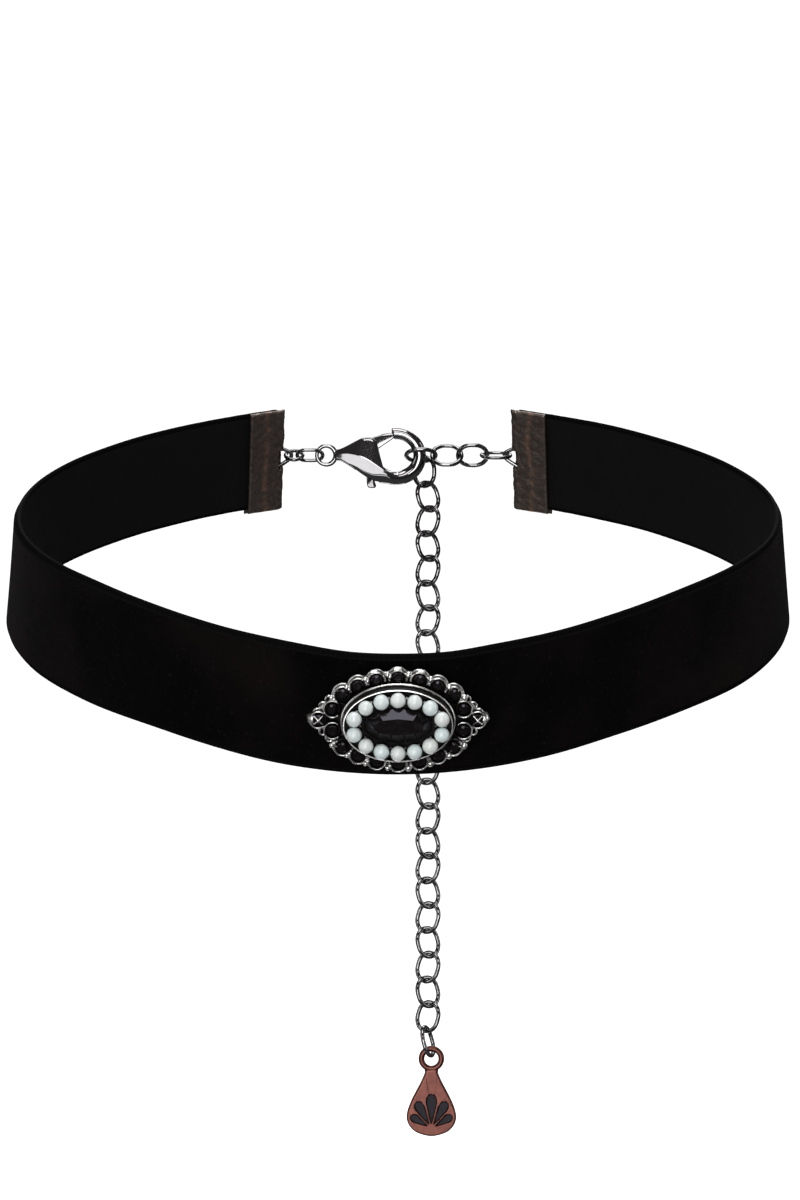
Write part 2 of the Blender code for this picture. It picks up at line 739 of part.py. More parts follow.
def make_charm(last_joint):
    """The copper drop: eye, neck and a teardrop with petals sunk in its face."""
    neck_at = -CHARM_EYE_RADIUS - CHARM_EYE_WIRE / 2
    right = [
        (CHARM_WIDTH / 2 * half, neck_at - CHARM_DROP_LENGTH * down)
        for down, half in DROP_OUTLINE
    ]
    left = [(-x, z) for x, z in reversed(right[:-1])]
    throat = neck_at + CHARM_EYE_WIRE * 0.45
    top = [(-CHARM_NECK_WIDTH / 2, throat), (CHARM_NECK_WIDTH / 2, throat)]
    charm = outline_solid("charm", right + left + top, CHARM_THICKNESS, COPPER)
    bevel(charm, CHARM_ROUND)
    bake(charm)
    eye = add_object("charm_eye", wire_mesh(circle(CHARM_EYE_RADIUS), CHARM_EYE_WIRE), COPPER)
    petals = []
    for index, (lean, length, width) in enumerate(PETALS):
        right_edge = [
            (CHARM_WIDTH * width / 2 * half, CHARM_DROP_LENGTH * (PETAL_START + length * up))
            for up, half in PETAL_EDGE
        ]
        left_edge = [(-x, z) for x, z in reversed(right_edge[1:-1])]
        petal = outline_solid(f"charm_petal_{index + 1}", right_edge + left_edge, CHARM_RELIEF * 2, COPPER)
        petal.data.transform(Matrix.Rotation(math.radians(lean), 4, "Y"))
        petal.location = (0.0, -CHARM_THICKNESS / 2, neck_at - CHARM_DROP_LENGTH * PETALS_FROM)
        petals.append(petal)
    shape_with(charm, "charm_cuts", petals, "DIFFERENCE")
    shape_with(charm, "charm_additions", [eye], "UNION")
    last_wire_drop = (LINK_WIRE - LINK_SINK) / 2
    eye_drop = last_wire_drop - hold(LINK_WIRE, CHARM_EYE_WIRE) + CHARM_EYE_RADIUS
    charm.location = last_joint - Vector((0.0, 0.0, eye_drop))


# The arc on which the rim's cups lie, a little inside the plate's edge
RIM_HALF_LENGTH = PLATE_LENGTH / 2 * 0.97
RIM_HALF_HEIGHT = PLATE_HEIGHT / 2 * 0.955
RIM_RADIUS = (RIM_HALF_LENGTH**2 + RIM_HALF_HEIGHT**2) / (2 * RIM_HALF_HEIGHT)


def rim_height(across):
    """How far above the middle the row of rim cups runs, at a distance across."""
    return math.sqrt(RIM_RADIUS**2 - across**2) - (RIM_RADIUS - RIM_HALF_HEIGHT)


def cup_places():
    """The middles of the outer cups, clockwise rows above, below and at the sides."""
    half_length = PLATE_LENGTH / 2
    half_height = PLATE_HEIGHT / 2
    places = []
    for share in RIM_CUPS:
        across = share * half_length
        for sign in (1, -1) if share else (1,):
            for up in (1, -1):
                places.append((sign * across, up * rim_height(across)))
    for across_share, up_share in SIDE_CUPS:
        for sign in (1, -1):
            for up in (1, -1) if up_share else (1,):
                places.append((sign * across_share * half_length, up * up_share * half_height))
    return places


def bead_places():
    """The middles of the small silver beads, each on its cup's wall, outwards and along the rim."""
    reach = STONE_RADIUS + SEAT_GAP + CUP_WALL + BEAD_RADIUS * 0.6
    places = []
    for share in RIM_CUPS:
        across = share * PLATE_LENGTH / 2
        angle = BEAD_LEAN - math.asin(across / RIM_RADIUS)
        for sign in (1, -1):
            for up in (1, -1):
                x = across + reach * math.cos(angle)
                y = rim_height(across) + reach * math.sin(angle)
                places.append((sign * x, up * y))
    return places


def lens_outline(length, height, corners):
    """A pointed oval of two arcs."""
    half_length = length / 2
    half_height = height / 2
    radius = (half_length**2 + half_height**2) / (2 * half_height)
    sweep = math.asin(half_length / radius)
    points = []
    for up in (1, -1):
        for step in range(corners):
            angle = sweep * (2 * step / corners - 1)
            points.append(
                (up * radius * math.sin(angle), up * (radius * math.cos(angle) - radius + half_height))
            )
    return points


def pearl_oval():
    """Half the length and half the height of the oval on which the pearls' middles lie."""
    inset = BEZEL_WALL + SEAT_GAP + PEARL_RADIUS
    return BEZEL_HALF_HEIGHT * BEZEL_RATIO - inset, BEZEL_HALF_HEIGHT - inset


# The centre stone reaches across to the pearls at the oval's ends
CENTRE_STONE_HALF_LENGTH = pearl_oval()[0] - PEARL_RADIUS - SEAT_GAP
CENTRE_STONE_STRETCH = Matrix.Diagonal((CENTRE_STONE_HALF_LENGTH / CENTRE_STONE_HALF_HEIGHT, 1.0, 1.0, 1.0))


def make_setting(place):
    """The cast setting: pointed plate, cups, beads, nuggets and the raised oval bezel."""
    plate = outline_solid(
        "ornament_setting", lens_outline(PLATE_LENGTH, PLATE_HEIGHT, 14), PLATE_THICKNESS, SILVER
    )
    plate.data.transform(Matrix.Rotation(math.radians(-90), 4, "X"))
    plate.data.transform(Matrix.Translation((0.0, 0.0, PLATE_THICKNESS / 2)))
    inner = BEZEL_HALF_HEIGHT - BEZEL_WALL
    tower = BEZEL_HALF_HEIGHT - TOWER_INSET
    flange = BEZEL_HALF_HEIGHT + FLANGE_WIDTH
    bezel = turned(
        "setting_bezel",
        (
            (0.0, PEARL_FLOOR),
            (inner, PEARL_FLOOR),
            (inner, BEZEL_RIM),
            (BEZEL_HALF_HEIGHT, BEZEL_RIM),
            (BEZEL_HALF_HEIGHT, FLANGE_TOP),
            (flange, FLANGE_TOP),
            (flange, FLANGE_BOTTOM),
            (tower, FLANGE_BOTTOM),
            (tower, PLATE_THICKNESS / 2),
            (0.0, PLATE_THICKNESS / 2),
        ),
        28,
        SILVER,
    )
    bezel.data.transform(Matrix.Diagonal((BEZEL_RATIO, 1.0, 1.0, 1.0)))
    pocket = STONE_RADIUS + SEAT_GAP
    cup = turned_drum("setting_cup", pocket + CUP_WALL, PLATE_THICKNESS * 0.3, CUP_HEIGHT)
    pocket_top = FLANGE_BOTTOM - PLATE_THICKNESS * 0.3
    seat_hole = turned_drum("setting_pocket", pocket, CUP_HEIGHT - STONE_RADIUS * 0.9, pocket_top)
    bead = ball("setting_bead", BEAD_RADIUS, 8, 5, SILVER)
    cup_floor = [(x, y, 0.0) for x, y in cup_places()]
    bead_spots = [(x, y, CUP_HEIGHT - BEAD_RADIUS * 0.5) for x, y in bead_places()]
    additions = [bezel] + repeat(cup, cup_floor) + repeat(bead, bead_spots)
    seat = CENTRE_STONE_HALF_HEIGHT + SEAT_GAP
    deep = PEARL_FLOOR - CENTRE_STONE_PAVILION
    stone_seat = turned(
        "setting_stone_seat",
        ((0.0, BEZEL_RIM), (seat, BEZEL_RIM), (seat, PEARL_FLOOR), (seat * 0.4, deep), (0.0, deep)),
        24,
        SILVER,
    )
    stone_seat.data.transform(CENTRE_STONE_STRETCH)
    cuts = repeat(seat_hole, cup_floor) + [stone_seat]
    nugget_across = PLATE_LENGTH / 2 + NUGGET_RADIUS * 0.2
    nugget_up = PLATE_THICKNESS * 1.15
    nugget = ball("setting_nugget", NUGGET_RADIUS, 10, 6, SILVER)
    additions += repeat(nugget, [(-nugget_across, 0.0, nugget_up), (nugget_across, 0.0, nugget_up)])
    shape_with(plate, "setting_additions", additions, "UNION")
    shape_with(plate, "setting_cuts", cuts, "DIFFERENCE")
    plate.parent = place


def make_cut_stone(name, radius, crown, girdle, pavilion, facets, table_share):
    """A faceted stone: table, crown, girdle and pavilion, with its girdle's top at height 0."""
    return turned(
        name,
        (
            (0.0, crown),
            (radius * table_share, crown),
            (radius, 0.0),
            (radius, -girdle),
            (radius * 0.3, -pavilion),
            (0.0, -pavilion),
        ),
        facets,
        BLACK_GLASS,
    )


def make_stones(place):
    """The black stones of the outer cups and the large one in the bezel."""
    small = make_cut_stone(
        "black_stone",
        STONE_RADIUS,
        STONE_RADIUS * 0.35,
        STONE_RADIUS * 0.12,
        STONE_RADIUS * 0.65,
        8,
        0.6,
    )
    for stone in repeat(small, [(x, y, CUP_HEIGHT) for x, y in cup_places()]):
        stone.parent = place
    centre = make_cut_stone(
        "centre_stone",
        CENTRE_STONE_HALF_HEIGHT,
        CENTRE_STONE_CROWN,
        CENTRE_STONE_GIRDLE,
        CENTRE_STONE_PAVILION - SEAT_GAP,
        CENTRE_STONE_FACETS,
        0.58,
    )
    centre.data.transform(CENTRE_STONE_STRETCH)
    centre.parent = place
    centre.location = (0.0, 0.0, PEARL_FLOOR + CENTRE_STONE_GIRDLE + SEAT_GAP)


def pearl_places():
    """Evenly spaced places along the oval on which the pearls' middles lie."""
    half_length, half_height = pearl_oval()
    samples = 720
    angles = np.linspace(0.0, 2 * math.pi, samples + 1) + math.pi / 2
    x = half_length * np.cos(angles)
    y = half_height * np.sin(angles)
    travelled = np.concatenate([[0.0], np.cumsum(np.hypot(np.diff(x), np.diff(y)))])
    stops = travelled[-1] * np.arange(PEARL_COUNT) / PEARL_COUNT
    return list(zip(np.interp(stops, travelled, x), np.interp(stops, travelled, y)))


def make_pearls(place):
    """The ring of pearls round the centre stone."""
    middle = PEARL_FLOOR + SEAT_GAP + PEARL_RADIUS
    first = ball("pearl", PEARL_RADIUS, 10, 6, PEARL)
    for pearl in repeat(first, [(x, y, middle) for x, y in pearl_places()]):
        pearl.parent = place


def main():
    """Make the pieces, those with many cuts last."""
    loop, ornament = make_frames()
    make_band(loop)
    make_crimp("end_crimp_right", 1, loop)
    make_crimp("end_crimp_left", -1, loop)
    make_oval("ring_left", LEFT_RING_AT, RING_LEFT_ROLL, RING_LEFT_LENGTH, RING_LEFT_WIDTH)
    make_oval("link_left", LEFT_LINK_AT, LINK_LEFT_ROLL, LINK_LEFT_LENGTH, LINK_LEFT_WIDTH)
    make_oval("ring_right", RIGHT_RING_AT, RING_RIGHT_ROLL, RING_RIGHT_LENGTH, RING_RIGHT_WIDTH)
    make_stones(ornament)
    make_pearls(ornament)
    make_clasp()
    make_lever()
    make_charm(chain_places()[1])
    make_chain()
    make_setting(ornament)
    bpy.context.view_layer.update()


main()
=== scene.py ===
"""Looks of a velvet choker necklace: each piece is finished round its packed solid, in metres."""

import json
import math

import bmesh
import bpy
import numpy as np
from mathutils import Matrix, Vector, noise


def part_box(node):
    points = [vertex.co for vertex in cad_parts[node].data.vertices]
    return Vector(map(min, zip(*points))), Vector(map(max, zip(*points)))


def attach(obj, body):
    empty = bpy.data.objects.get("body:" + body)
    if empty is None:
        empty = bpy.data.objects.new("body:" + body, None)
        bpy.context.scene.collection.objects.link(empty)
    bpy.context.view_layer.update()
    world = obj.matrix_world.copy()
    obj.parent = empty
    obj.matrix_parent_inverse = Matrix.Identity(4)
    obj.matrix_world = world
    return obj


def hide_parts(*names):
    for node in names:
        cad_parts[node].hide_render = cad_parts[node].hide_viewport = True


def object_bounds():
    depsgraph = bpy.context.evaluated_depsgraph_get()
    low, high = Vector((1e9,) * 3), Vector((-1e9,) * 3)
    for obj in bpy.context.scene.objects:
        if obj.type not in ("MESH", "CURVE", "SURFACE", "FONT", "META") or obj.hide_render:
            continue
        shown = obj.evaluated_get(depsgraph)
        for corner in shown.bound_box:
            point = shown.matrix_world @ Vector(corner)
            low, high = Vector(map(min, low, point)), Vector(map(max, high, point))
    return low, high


bl_info = {
    "name": "Velvet Choker Necklace",
    "version": (1, 0, 0),
    "blender": (4, 5, 0),
    "location": "View3D > Sidebar > Choker",
    "description": "Makes the finished pieces of a velvet choker and the studio round them",
    "category": "Object",
}

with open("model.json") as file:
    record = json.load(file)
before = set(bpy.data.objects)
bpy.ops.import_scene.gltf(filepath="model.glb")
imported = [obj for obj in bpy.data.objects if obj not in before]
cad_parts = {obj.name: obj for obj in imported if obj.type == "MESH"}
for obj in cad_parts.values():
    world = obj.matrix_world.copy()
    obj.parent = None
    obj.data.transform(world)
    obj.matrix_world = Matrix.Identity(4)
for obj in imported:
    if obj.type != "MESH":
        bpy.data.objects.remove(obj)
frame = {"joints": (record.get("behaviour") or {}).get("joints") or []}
CAD_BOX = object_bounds()
MM = 0.001

# Ribbon and the plan of its loop, as in the solids
BAND_WIDTH = 0.018
BAND_THICKNESS = 0.0012
BAND_FLARE = math.radians(6.5)
LOOP_WIDTH = 0.120
LOOP_TILT = math.radians(21.5)
LOOP_PLAN = (
    *((0, 0.880), (30, 0.840), (60, 0.875), (90, 0.986)),
    *((120, 0.994), (150, 0.960), (180, 0.969)),
)

# Folded ribbon ends, as in the solids
FIT_GAP = 0.0003
SEAT_GAP = 0.0002
CRIMP_LENGTH = 0.0064
CRIMP_WALL = 0.0006
CRIMP_FOLD = 0.0009
CRIMP_OVERHANG = 0.0003
CRIMP_LOOP_REACH = 0.0021
CRIMP_LOOP_SPREAD = 0.0046
CRIMP_LOOP_WIRE = 0.0007
CRIMP_LOOP_BEND = ((0.0, 1.0), (0.55, 0.62), (0.88, 0.34), (1.0, 0.12))

# Rings, links and chain, as in the solids
RING_WIRE = 0.00065
RINGS = (
    ("ring_left", 0.0036, 0.0040, math.radians(-60)),
    ("link_left", 0.0050, 0.0036, math.radians(55)),
    ("ring_right", 0.0056, 0.0046, math.radians(-75)),
)
LINK_LENGTH = 0.00575
LINK_WIDTH = 0.0051
LINK_WIRE = 0.00075
LINK_SINK = 0.00015
LINK_TURN = math.radians(40)
HOOKED_LINK_ROLL = math.radians(65)
HANGING_LINKS = 24
LAST_LINK_TURN = math.radians(72)
HOOKED_LINK_SLACK = 0.0008
HANG_ASIDE = 0.0012
CHAIN_ZIGZAG = 0.0006

# Clasp, from its lever's pivot, as in the solids
CLASP_THICKNESS = 0.0036
CLASP_EYE_AT = -0.0075
CLASP_EYE_RADIUS = 0.0016
CLASP_EYE_WIRE = 0.00075
HOOK_AT = 0.0043
HOOK_HALF_LENGTH = 0.0052
HOOK_HALF_HEIGHT = 0.0049
HOOK_BAR = 0.0022
HOOK_DROP = -0.0002
LEVER_THICKNESS = 0.0014
LEVER_REACH = 0.0051
LEVER_TAIL = 0.0056
LEVER_BOSS = 0.00115
PIVOT_RADIUS = 0.0004

# Copper drop, as in the solids
CHARM_THICKNESS = 0.0014
CHARM_WIDTH = 0.0084
CHARM_DROP_LENGTH = 0.0110
CHARM_NECK_WIDTH = 0.0021
CHARM_EYE_RADIUS = 0.0017
CHARM_EYE_WIRE = 0.0010
CHARM_RELIEF = 0.0003

# Ornament, on its back: X to the right, Y up the ribbon, Z off the ribbon, as in the solids
PLATE_LENGTH = 0.0236
PLATE_HEIGHT = 0.0132
PLATE_THICKNESS = 0.0010
STONE_RADIUS = 0.00085
CUP_WALL = 0.00025
CUP_HEIGHT = 0.0021
BEZEL_RATIO = 1.46
BEZEL_HALF_HEIGHT = 0.0052
BEZEL_WALL = 0.0003
PEARL_FLOOR = 0.0042
PEARL_RADIUS = 0.0010
PEARL_COUNT = 14
CENTRE_STONE_HALF_HEIGHT = 0.00255
CENTRE_STONE_CROWN = 0.0009
CENTRE_STONE_PAVILION = 0.0013
CENTRE_STONE_GIRDLE = 0.0002
BEAD_RADIUS = 0.00045
BEAD_LEAN = math.radians(23)
NUGGET_RADIUS = 0.0007
RIM_CUPS = (0.0, 0.25, 0.465, 0.645)
SIDE_CUPS = ((0.765, 0.235), (0.930, 0.0))

# Photograph's camera
PHOTO_WIDTH = 800
PHOTO_HEIGHT = 1200
PHOTO_MIDDLE = (398.0, 573.66)


def lerp(first, second, share):
    """A value between two others."""
    return first + (second - first) * share


def smooth_step(value, low, high):
    """0 below low, 1 above high, and a smooth rise between."""
    share = np.clip((value - low) / (high - low), 0.0, 1.0)
    return share * share * (3 - 2 * share)


def unit(rows):
    """Rows of vectors, each brought to a length of one."""
    return rows / np.linalg.norm(rows, axis=1)[:, None]


def travelled_along(points):
    """How far along a path each of its points lies."""
    return np.concatenate([[0.0], np.cumsum(np.linalg.norm(np.diff(points, axis=0), axis=1))])


def full_turn(count, start=0.0):
    """Evenly spaced angles round a full turn."""
    return np.arange(count) / count * math.tau + start


def ring(centre, radii, count, level, upright=False, start=0.0):
    """Corners of a circle or an oval: flat at a height, or upright at a depth."""
    angles = full_turn(count, start)
    wide, high = np.broadcast_to(radii, 2)
    first = centre[0] + wide * np.cos(angles)
    second = centre[1] + high * np.sin(angles)
    third = np.full(count, level)
    return np.column_stack([first, third, second] if upright else [first, second, third])


def through(points, count, closed=False):
    """Evenly stepped points on a smooth curve through the given ones."""
    points = np.array(points, float)
    if closed:
        padded = np.vstack([points[-1:], points, points[:2]])
        spans = len(points)
    else:
        padded = np.vstack([2 * points[0] - points[1], points, 2 * points[-1] - points[-2]])
        spans = len(points) - 1
    steps = np.linspace(0, spans, count, endpoint=not closed)
    index = np.minimum(steps.astype(int), spans - 1)
    t = (steps - index)[:, None]
    a, b, c, d = (padded[index + k] for k in range(4))
    square = (2 * a - 5 * b + 4 * c - d) * t**2
    cube = (3 * b - a - 3 * c + d) * t**3
    return 0.5 * (2 * b + (c - a) * t + square + cube)


def grain(places, scale, seed=0.0):
    """Soft noise from -1 to 1 at each place; scale is lumps for each metre."""
    shift = Vector((seed * 7.31, seed * 3.17, seed * 5.71))
    return np.array([noise.noise(Vector(place) * scale + shift) for place in places])


# Angle left open at each pole of a round bead
BALL_TIP = 0.02


class Build:
    """Surfaces gathered into one mesh, with a value for the finish at each corner."""

    def __init__(self):
        self.corners = []
        self.faces = []
        self.shine = []
        self.count = 0

    def add(self, corners, faces, shine):
        """Add a surface; shine is one value or one for each corner."""
        corners = np.array(corners, float).reshape(-1, 3)
        self.corners.append(corners)
        self.faces += [tuple(corner + self.count for corner in face) for face in faces]
        self.shine.append(np.broadcast_to(np.array(shine, float), (len(corners),)))
        self.count += len(corners)

    def grid(self, rows, shine, closed_rows=False, closed_columns=False):
        """Add a sheet of faces over rows of corners."""
        rows = np.array(rows, float)
        high, wide = rows.shape[:2]
        faces = []
        for i in range(high if closed_rows else high - 1):
            j = (i + 1) % high
            for k in range(wide if closed_columns else wide - 1):
                m = (k + 1) % wide
                faces.append((i * wide + k, i * wide + m, j * wide + m, j * wide + k))
        self.add(rows, faces, np.reshape(shine, -1) if np.ndim(shine) else shine)

    def capped(self, rows, shine):
        """Add closed rings one over another, with a flat face over the first and the last."""
        rows = np.array(rows, float)
        start = self.count
        self.grid(rows, shine, closed_columns=True)
        wide = rows.shape[1]
        last = start + (len(rows) - 1) * wide
        self.faces.append(tuple(range(start + wide - 1, start - 1, -1)))
        self.faces.append(tuple(range(last, last + wide)))

    def tube(self, path, radius, sides, shine, normal=(0.0, 1.0, 0.0), closed=True, flat=1.0):
        """Add a wire along a flat path; flat squeezes it along the path's normal."""
        path = np.array(path, float)
        if closed:
            tangent = np.roll(path, -1, 0) - np.roll(path, 1, 0)
        else:
            tangent = np.gradient(path, axis=0)
        side = unit(np.cross(unit(tangent), normal))
        angles = full_turn(sides)[None, :, None]
        reach = np.broadcast_to(radius, (len(path),))[:, None, None]
        around = side[:, None, :] * np.cos(angles) + np.array(normal) * np.sin(angles) * flat
        rows = path[:, None, :] + around * reach
        if closed:
            self.grid(rows, shine, closed_rows=True, closed_columns=True)
        else:
            self.capped(rows, shine)

    def ball(self, centre, radius, segments, rings, shine):
        """Add a round bead."""
        rows = [
            ring(centre, radius * math.sin(tip), segments, centre[2] - radius * math.cos(tip))
            for tip in np.linspace(BALL_TIP, math.pi - BALL_TIP, rings + 1)
        ]
        self.capped(rows, shine)

    def points(self):
        """All the gathered corners."""
        return np.concatenate(self.corners)

    def mesh(self, name, sharp=math.radians(40)):
        """The gathered surfaces as one mesh, smooth but for its sharp edges."""
        mesh = bpy.data.meshes.new(name)
        mesh.from_pydata(self.points().tolist(), [], self.faces)
        note_values(mesh, "shine", self.shine)
        tidy_mesh(mesh, sharp)
        return mesh


def note_values(mesh, name, values):
    """Keep a value for each of a mesh's corners under a name."""
    attribute = mesh.attributes.new(name, "FLOAT", "POINT")
    attribute.data.foreach_set("value", np.concatenate(values).astype(np.float32))


def tidy_mesh(mesh, sharp):
    """Turn a mesh's faces outwards and smooth all but its sharp edges."""
    shape = bmesh.new()
    shape.from_mesh(mesh)
    bmesh.ops.recalc_face_normals(shape, faces=shape.faces)
    shape.to_mesh(mesh)
    shape.free()
    mesh.shade_smooth()
    mesh.set_sharp_from_angle(angle=sharp)


def place(name, mesh, finish, nodes, slot, matrix=None, body="necklace"):
    """Put a finished piece in the scene: it rides on a body and stands for the named solids."""
    piece = bpy.data.objects.new(name, mesh)
    if finish is not None:
        mesh.materials.append(finish)
    if matrix is not None:
        piece.matrix_world = matrix
    bpy.context.scene.collection.objects.link(piece)
    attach(piece, body)
    if nodes:
        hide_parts(*nodes)
    return piece


def cut(mesh, tool_mesh, name):
    """A mesh with a tool's shape taken away."""
    carrier = bpy.data.objects.new(name, mesh)
    tool = bpy.data.objects.new(name + "_tool", tool_mesh)
    for item in (carrier, tool):
        bpy.context.scene.collection.objects.link(item)
    boolean = carrier.modifiers.new("cut", "BOOLEAN")
    boolean.operation = "DIFFERENCE"
    boolean.solver = "EXACT"
    boolean.object = tool
    bpy.context.view_layer.update()
    graph = bpy.context.evaluated_depsgraph_get()
    made = bpy.data.meshes.new_from_object(carrier.evaluated_get(graph))
    for item in (carrier, tool):
        bpy.data.objects.remove(item)
    return made


def prism(outline, half_depth, rounding=0.0, shine=0.5, steps=3):
    """A flat outline in X and Z, given a depth along Y and rounded edges."""
    outline = np.array(outline, float)
    after = np.roll(outline, -1, 0)
    out = unit(after - outline) + unit(outline - np.roll(outline, 1, 0))
    out = unit(np.stack([out[:, 1], -out[:, 0]], axis=1))
    if np.sum(outline[:, 0] * after[:, 1] - after[:, 0] * outline[:, 1]) < 0:
        out = -out
    angles = [math.radians(90) * step / steps for step in range(steps + 1)]
    profile = [
        (rounding * (1 - math.sin(angle)), half_depth - rounding * (1 - math.cos(angle)))
        for angle in angles
    ]
    rows = []
    for inset, depth in profile + [(inset, -depth) for inset, depth in reversed(profile)]:
        inner = outline - out * inset
        rows.append(np.column_stack([inner[:, 0], np.full(len(inner), depth), inner[:, 1]]))
    build = Build()
    build.capped(rows, shine)
    return build


# Places of the pieces, worked out as the solids' are
PLAN_TURNS = np.radians([turn for turn, share in LOOP_PLAN])
PLAN_ORDERS = np.arange(len(LOOP_PLAN))
PLAN_STEP = math.radians(0.05)
PLAN_WAVES = np.linalg.solve(
    np.cos(np.outer(PLAN_TURNS, PLAN_ORDERS)), np.array([share for turn, share in LOOP_PLAN])
)
TILT = Matrix.Rotation(LOOP_TILT, 4, "X")
PIVOT = Vector(frame["joints"][0]["pos_m"])
HOOK_INNER_LENGTH = HOOK_HALF_LENGTH - HOOK_BAR
HOOK_INNER_HEIGHT = HOOK_HALF_HEIGHT - HOOK_BAR
HOOKED_LINK_AT = HOOK_AT + HOOK_INNER_LENGTH - HOOKED_LINK_SLACK - LINK_WIRE + LINK_LENGTH / 2
LINK_PITCH = LINK_LENGTH - 2 * LINK_WIRE + LINK_SINK
APEX_OUT = CRIMP_LENGTH / 2 + CRIMP_LOOP_REACH - CRIMP_LOOP_WIRE / 2


def plan_point(turn):
    """Where the middle of the ribbon is in plan, at a turn from the front towards +X."""
    radius = LOOP_WIDTH / 2 * float(PLAN_WAVES @ np.cos(PLAN_ORDERS * turn))
    return Vector((radius * math.sin(turn), -radius * math.cos(turn), 0.0))


def plan_heading(turn):
    """The unit direction in which the plan runs as the turn grows."""
    return (plan_point(turn + PLAN_STEP) - plan_point(turn - PLAN_STEP)).normalized()


def ribbon_frame(turn):
    """The ribbon's own axes at a turn: X along the ribbon, Y inwards, Z up its width."""
    along = plan_heading(turn)
    up = Vector((0.0, 0.0, 1.0))
    inwards = up.cross(along)
    leaned_up = up * math.cos(BAND_FLARE) + inwards * math.sin(BAND_FLARE)
    made = Matrix((along, leaned_up.cross(along), leaned_up)).transposed().to_4x4()
    made.translation = plan_point(turn)
    return made


def last_turn(low, high, holds, halvings):
    """The turn up to which a condition holds, between two others."""
    for _ in range(halvings):
        middle = (low + high) / 2
        low, high = (middle, high) if holds(middle) else (low, middle)
    return (low + high) / 2


def crimp_turn():
    """The turn at which a crimp's middle lies, from how far right its solid reaches."""
    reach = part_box("end_crimp_right")[0].x + CRIMP_LOOP_WIRE / 2
    holds = lambda turn: (plan_point(turn) + plan_heading(turn) * APEX_OUT).x > reach
    return last_turn(math.radians(120), math.radians(179), holds, 50)


def ornament_frame():
    """The ornament's own axes, on the front of the ribbon."""
    lean = math.radians(90) - BAND_FLARE
    off_ribbon = Vector((0.0, -math.cos(BAND_FLARE), math.sin(BAND_FLARE)))
    made = Matrix.Rotation(lean, 4, "X")
    made.translation = plan_point(0.0) + off_ribbon * (BAND_THICKNESS / 2 + FIT_GAP)
    return TILT @ made


def link_frame(centre, along, roll):
    """A link's own axes: long along Z, flat in XZ."""
    axis = Vector(along).normalized()
    facing = Vector((0.0, 1.0, 0.0))
    facing = (facing - axis * facing.dot(axis)).normalized()
    made = Matrix((facing.cross(axis), facing, axis)).transposed().to_4x4()
    made.translation = Vector(centre)
    return made @ Matrix.Rotation(roll, 4, "Z")


def chain_places():
    """The frame of each link, from the ring's side through the hook and down to the drop."""
    places = []
    for step, roll in ((2, LINK_TURN), (1, -LINK_TURN), (0, HOOKED_LINK_ROLL)):
        centre = PIVOT + Vector((HOOKED_LINK_AT + step * LINK_PITCH, 0.0, 0.0))
        places.append(link_frame(centre, (1.0, 0.0, 0.0), roll))
    side_reach = (LINK_WIDTH - LINK_WIRE) / 2
    aside = side_reach * math.sin(HOOKED_LINK_ROLL)
    carrier = PIVOT + Vector((HOOKED_LINK_AT, aside, -side_reach * math.cos(HOOKED_LINK_ROLL)))
    joint = carrier + Vector((CHAIN_ZIGZAG, 0.0, (LINK_WIRE - LINK_SINK) / 2))
    fall = math.sqrt(LINK_PITCH**2 - (2 * CHAIN_ZIGZAG) ** 2)
    for index in range(HANGING_LINKS):
        sign = 1 if index % 2 else -1
        across = carrier.x + HANG_ASIDE + sign * CHAIN_ZIGZAG
        lower = Vector((across, carrier.y, joint.z - fall))
        turn = LAST_LINK_TURN if index == HANGING_LINKS - 1 else LINK_TURN
        places.append(link_frame((joint + lower) / 2, lower - joint, -sign * turn))
        joint = lower
    return places, joint


def charm_place():
    """The middle of the drop's eye."""
    touch = (LINK_WIRE - LINK_SINK) / 2 - (LINK_WIRE + CHARM_EYE_WIRE) / 2 - FIT_GAP
    return chain_places()[1] - Vector((0.0, 0.0, touch + CHARM_EYE_RADIUS))


# The arc on which the ornament's rim cups lie
RIM_HALF_LENGTH = PLATE_LENGTH / 2 * 0.97
RIM_HALF_HEIGHT = PLATE_HEIGHT / 2 * 0.955
RIM_RADIUS = (RIM_HALF_LENGTH**2 + RIM_HALF_HEIGHT**2) / (2 * RIM_HALF_HEIGHT)


def rim_height(across):
    """How far above the middle the row of rim cups runs, at a distance across."""
    return math.sqrt(RIM_RADIUS**2 - across**2) - (RIM_RADIUS - RIM_HALF_HEIGHT)


# How far the upper rim's castings and stones sit below their solids' middles
RIM_SINK = 0.0004
STONE_SINK = 0.00028


def rim_cups():
    """Middle and outward angle of each cup on the upper and lower rims."""
    places = []
    for share in RIM_CUPS:
        across = share * PLATE_LENGTH / 2
        lean = math.asin(across / RIM_RADIUS)
        for sign in (1, -1) if share else (1,):
            for up in (1, -1):
                outward = up * (math.radians(90) - sign * lean)
                places.append((sign * across, up * rim_height(across), outward))
    return places


def side_cups():
    """Middle and outward angle of each cup at the ornament's two ends."""
    half_length, half_height = PLATE_LENGTH / 2, PLATE_HEIGHT / 2
    return [
        (sign * across * half_length, up * high * half_height, 0.0 if sign > 0 else math.pi)
        for across, high in SIDE_CUPS
        for sign in (1, -1)
        for up in ((1, -1) if high else (1,))
    ]


def pearl_oval():
    """Half the length and half the height of the oval on which the pearls' middles lie."""
    inset = BEZEL_WALL + SEAT_GAP + PEARL_RADIUS
    return BEZEL_HALF_HEIGHT * BEZEL_RATIO - inset, BEZEL_HALF_HEIGHT - inset


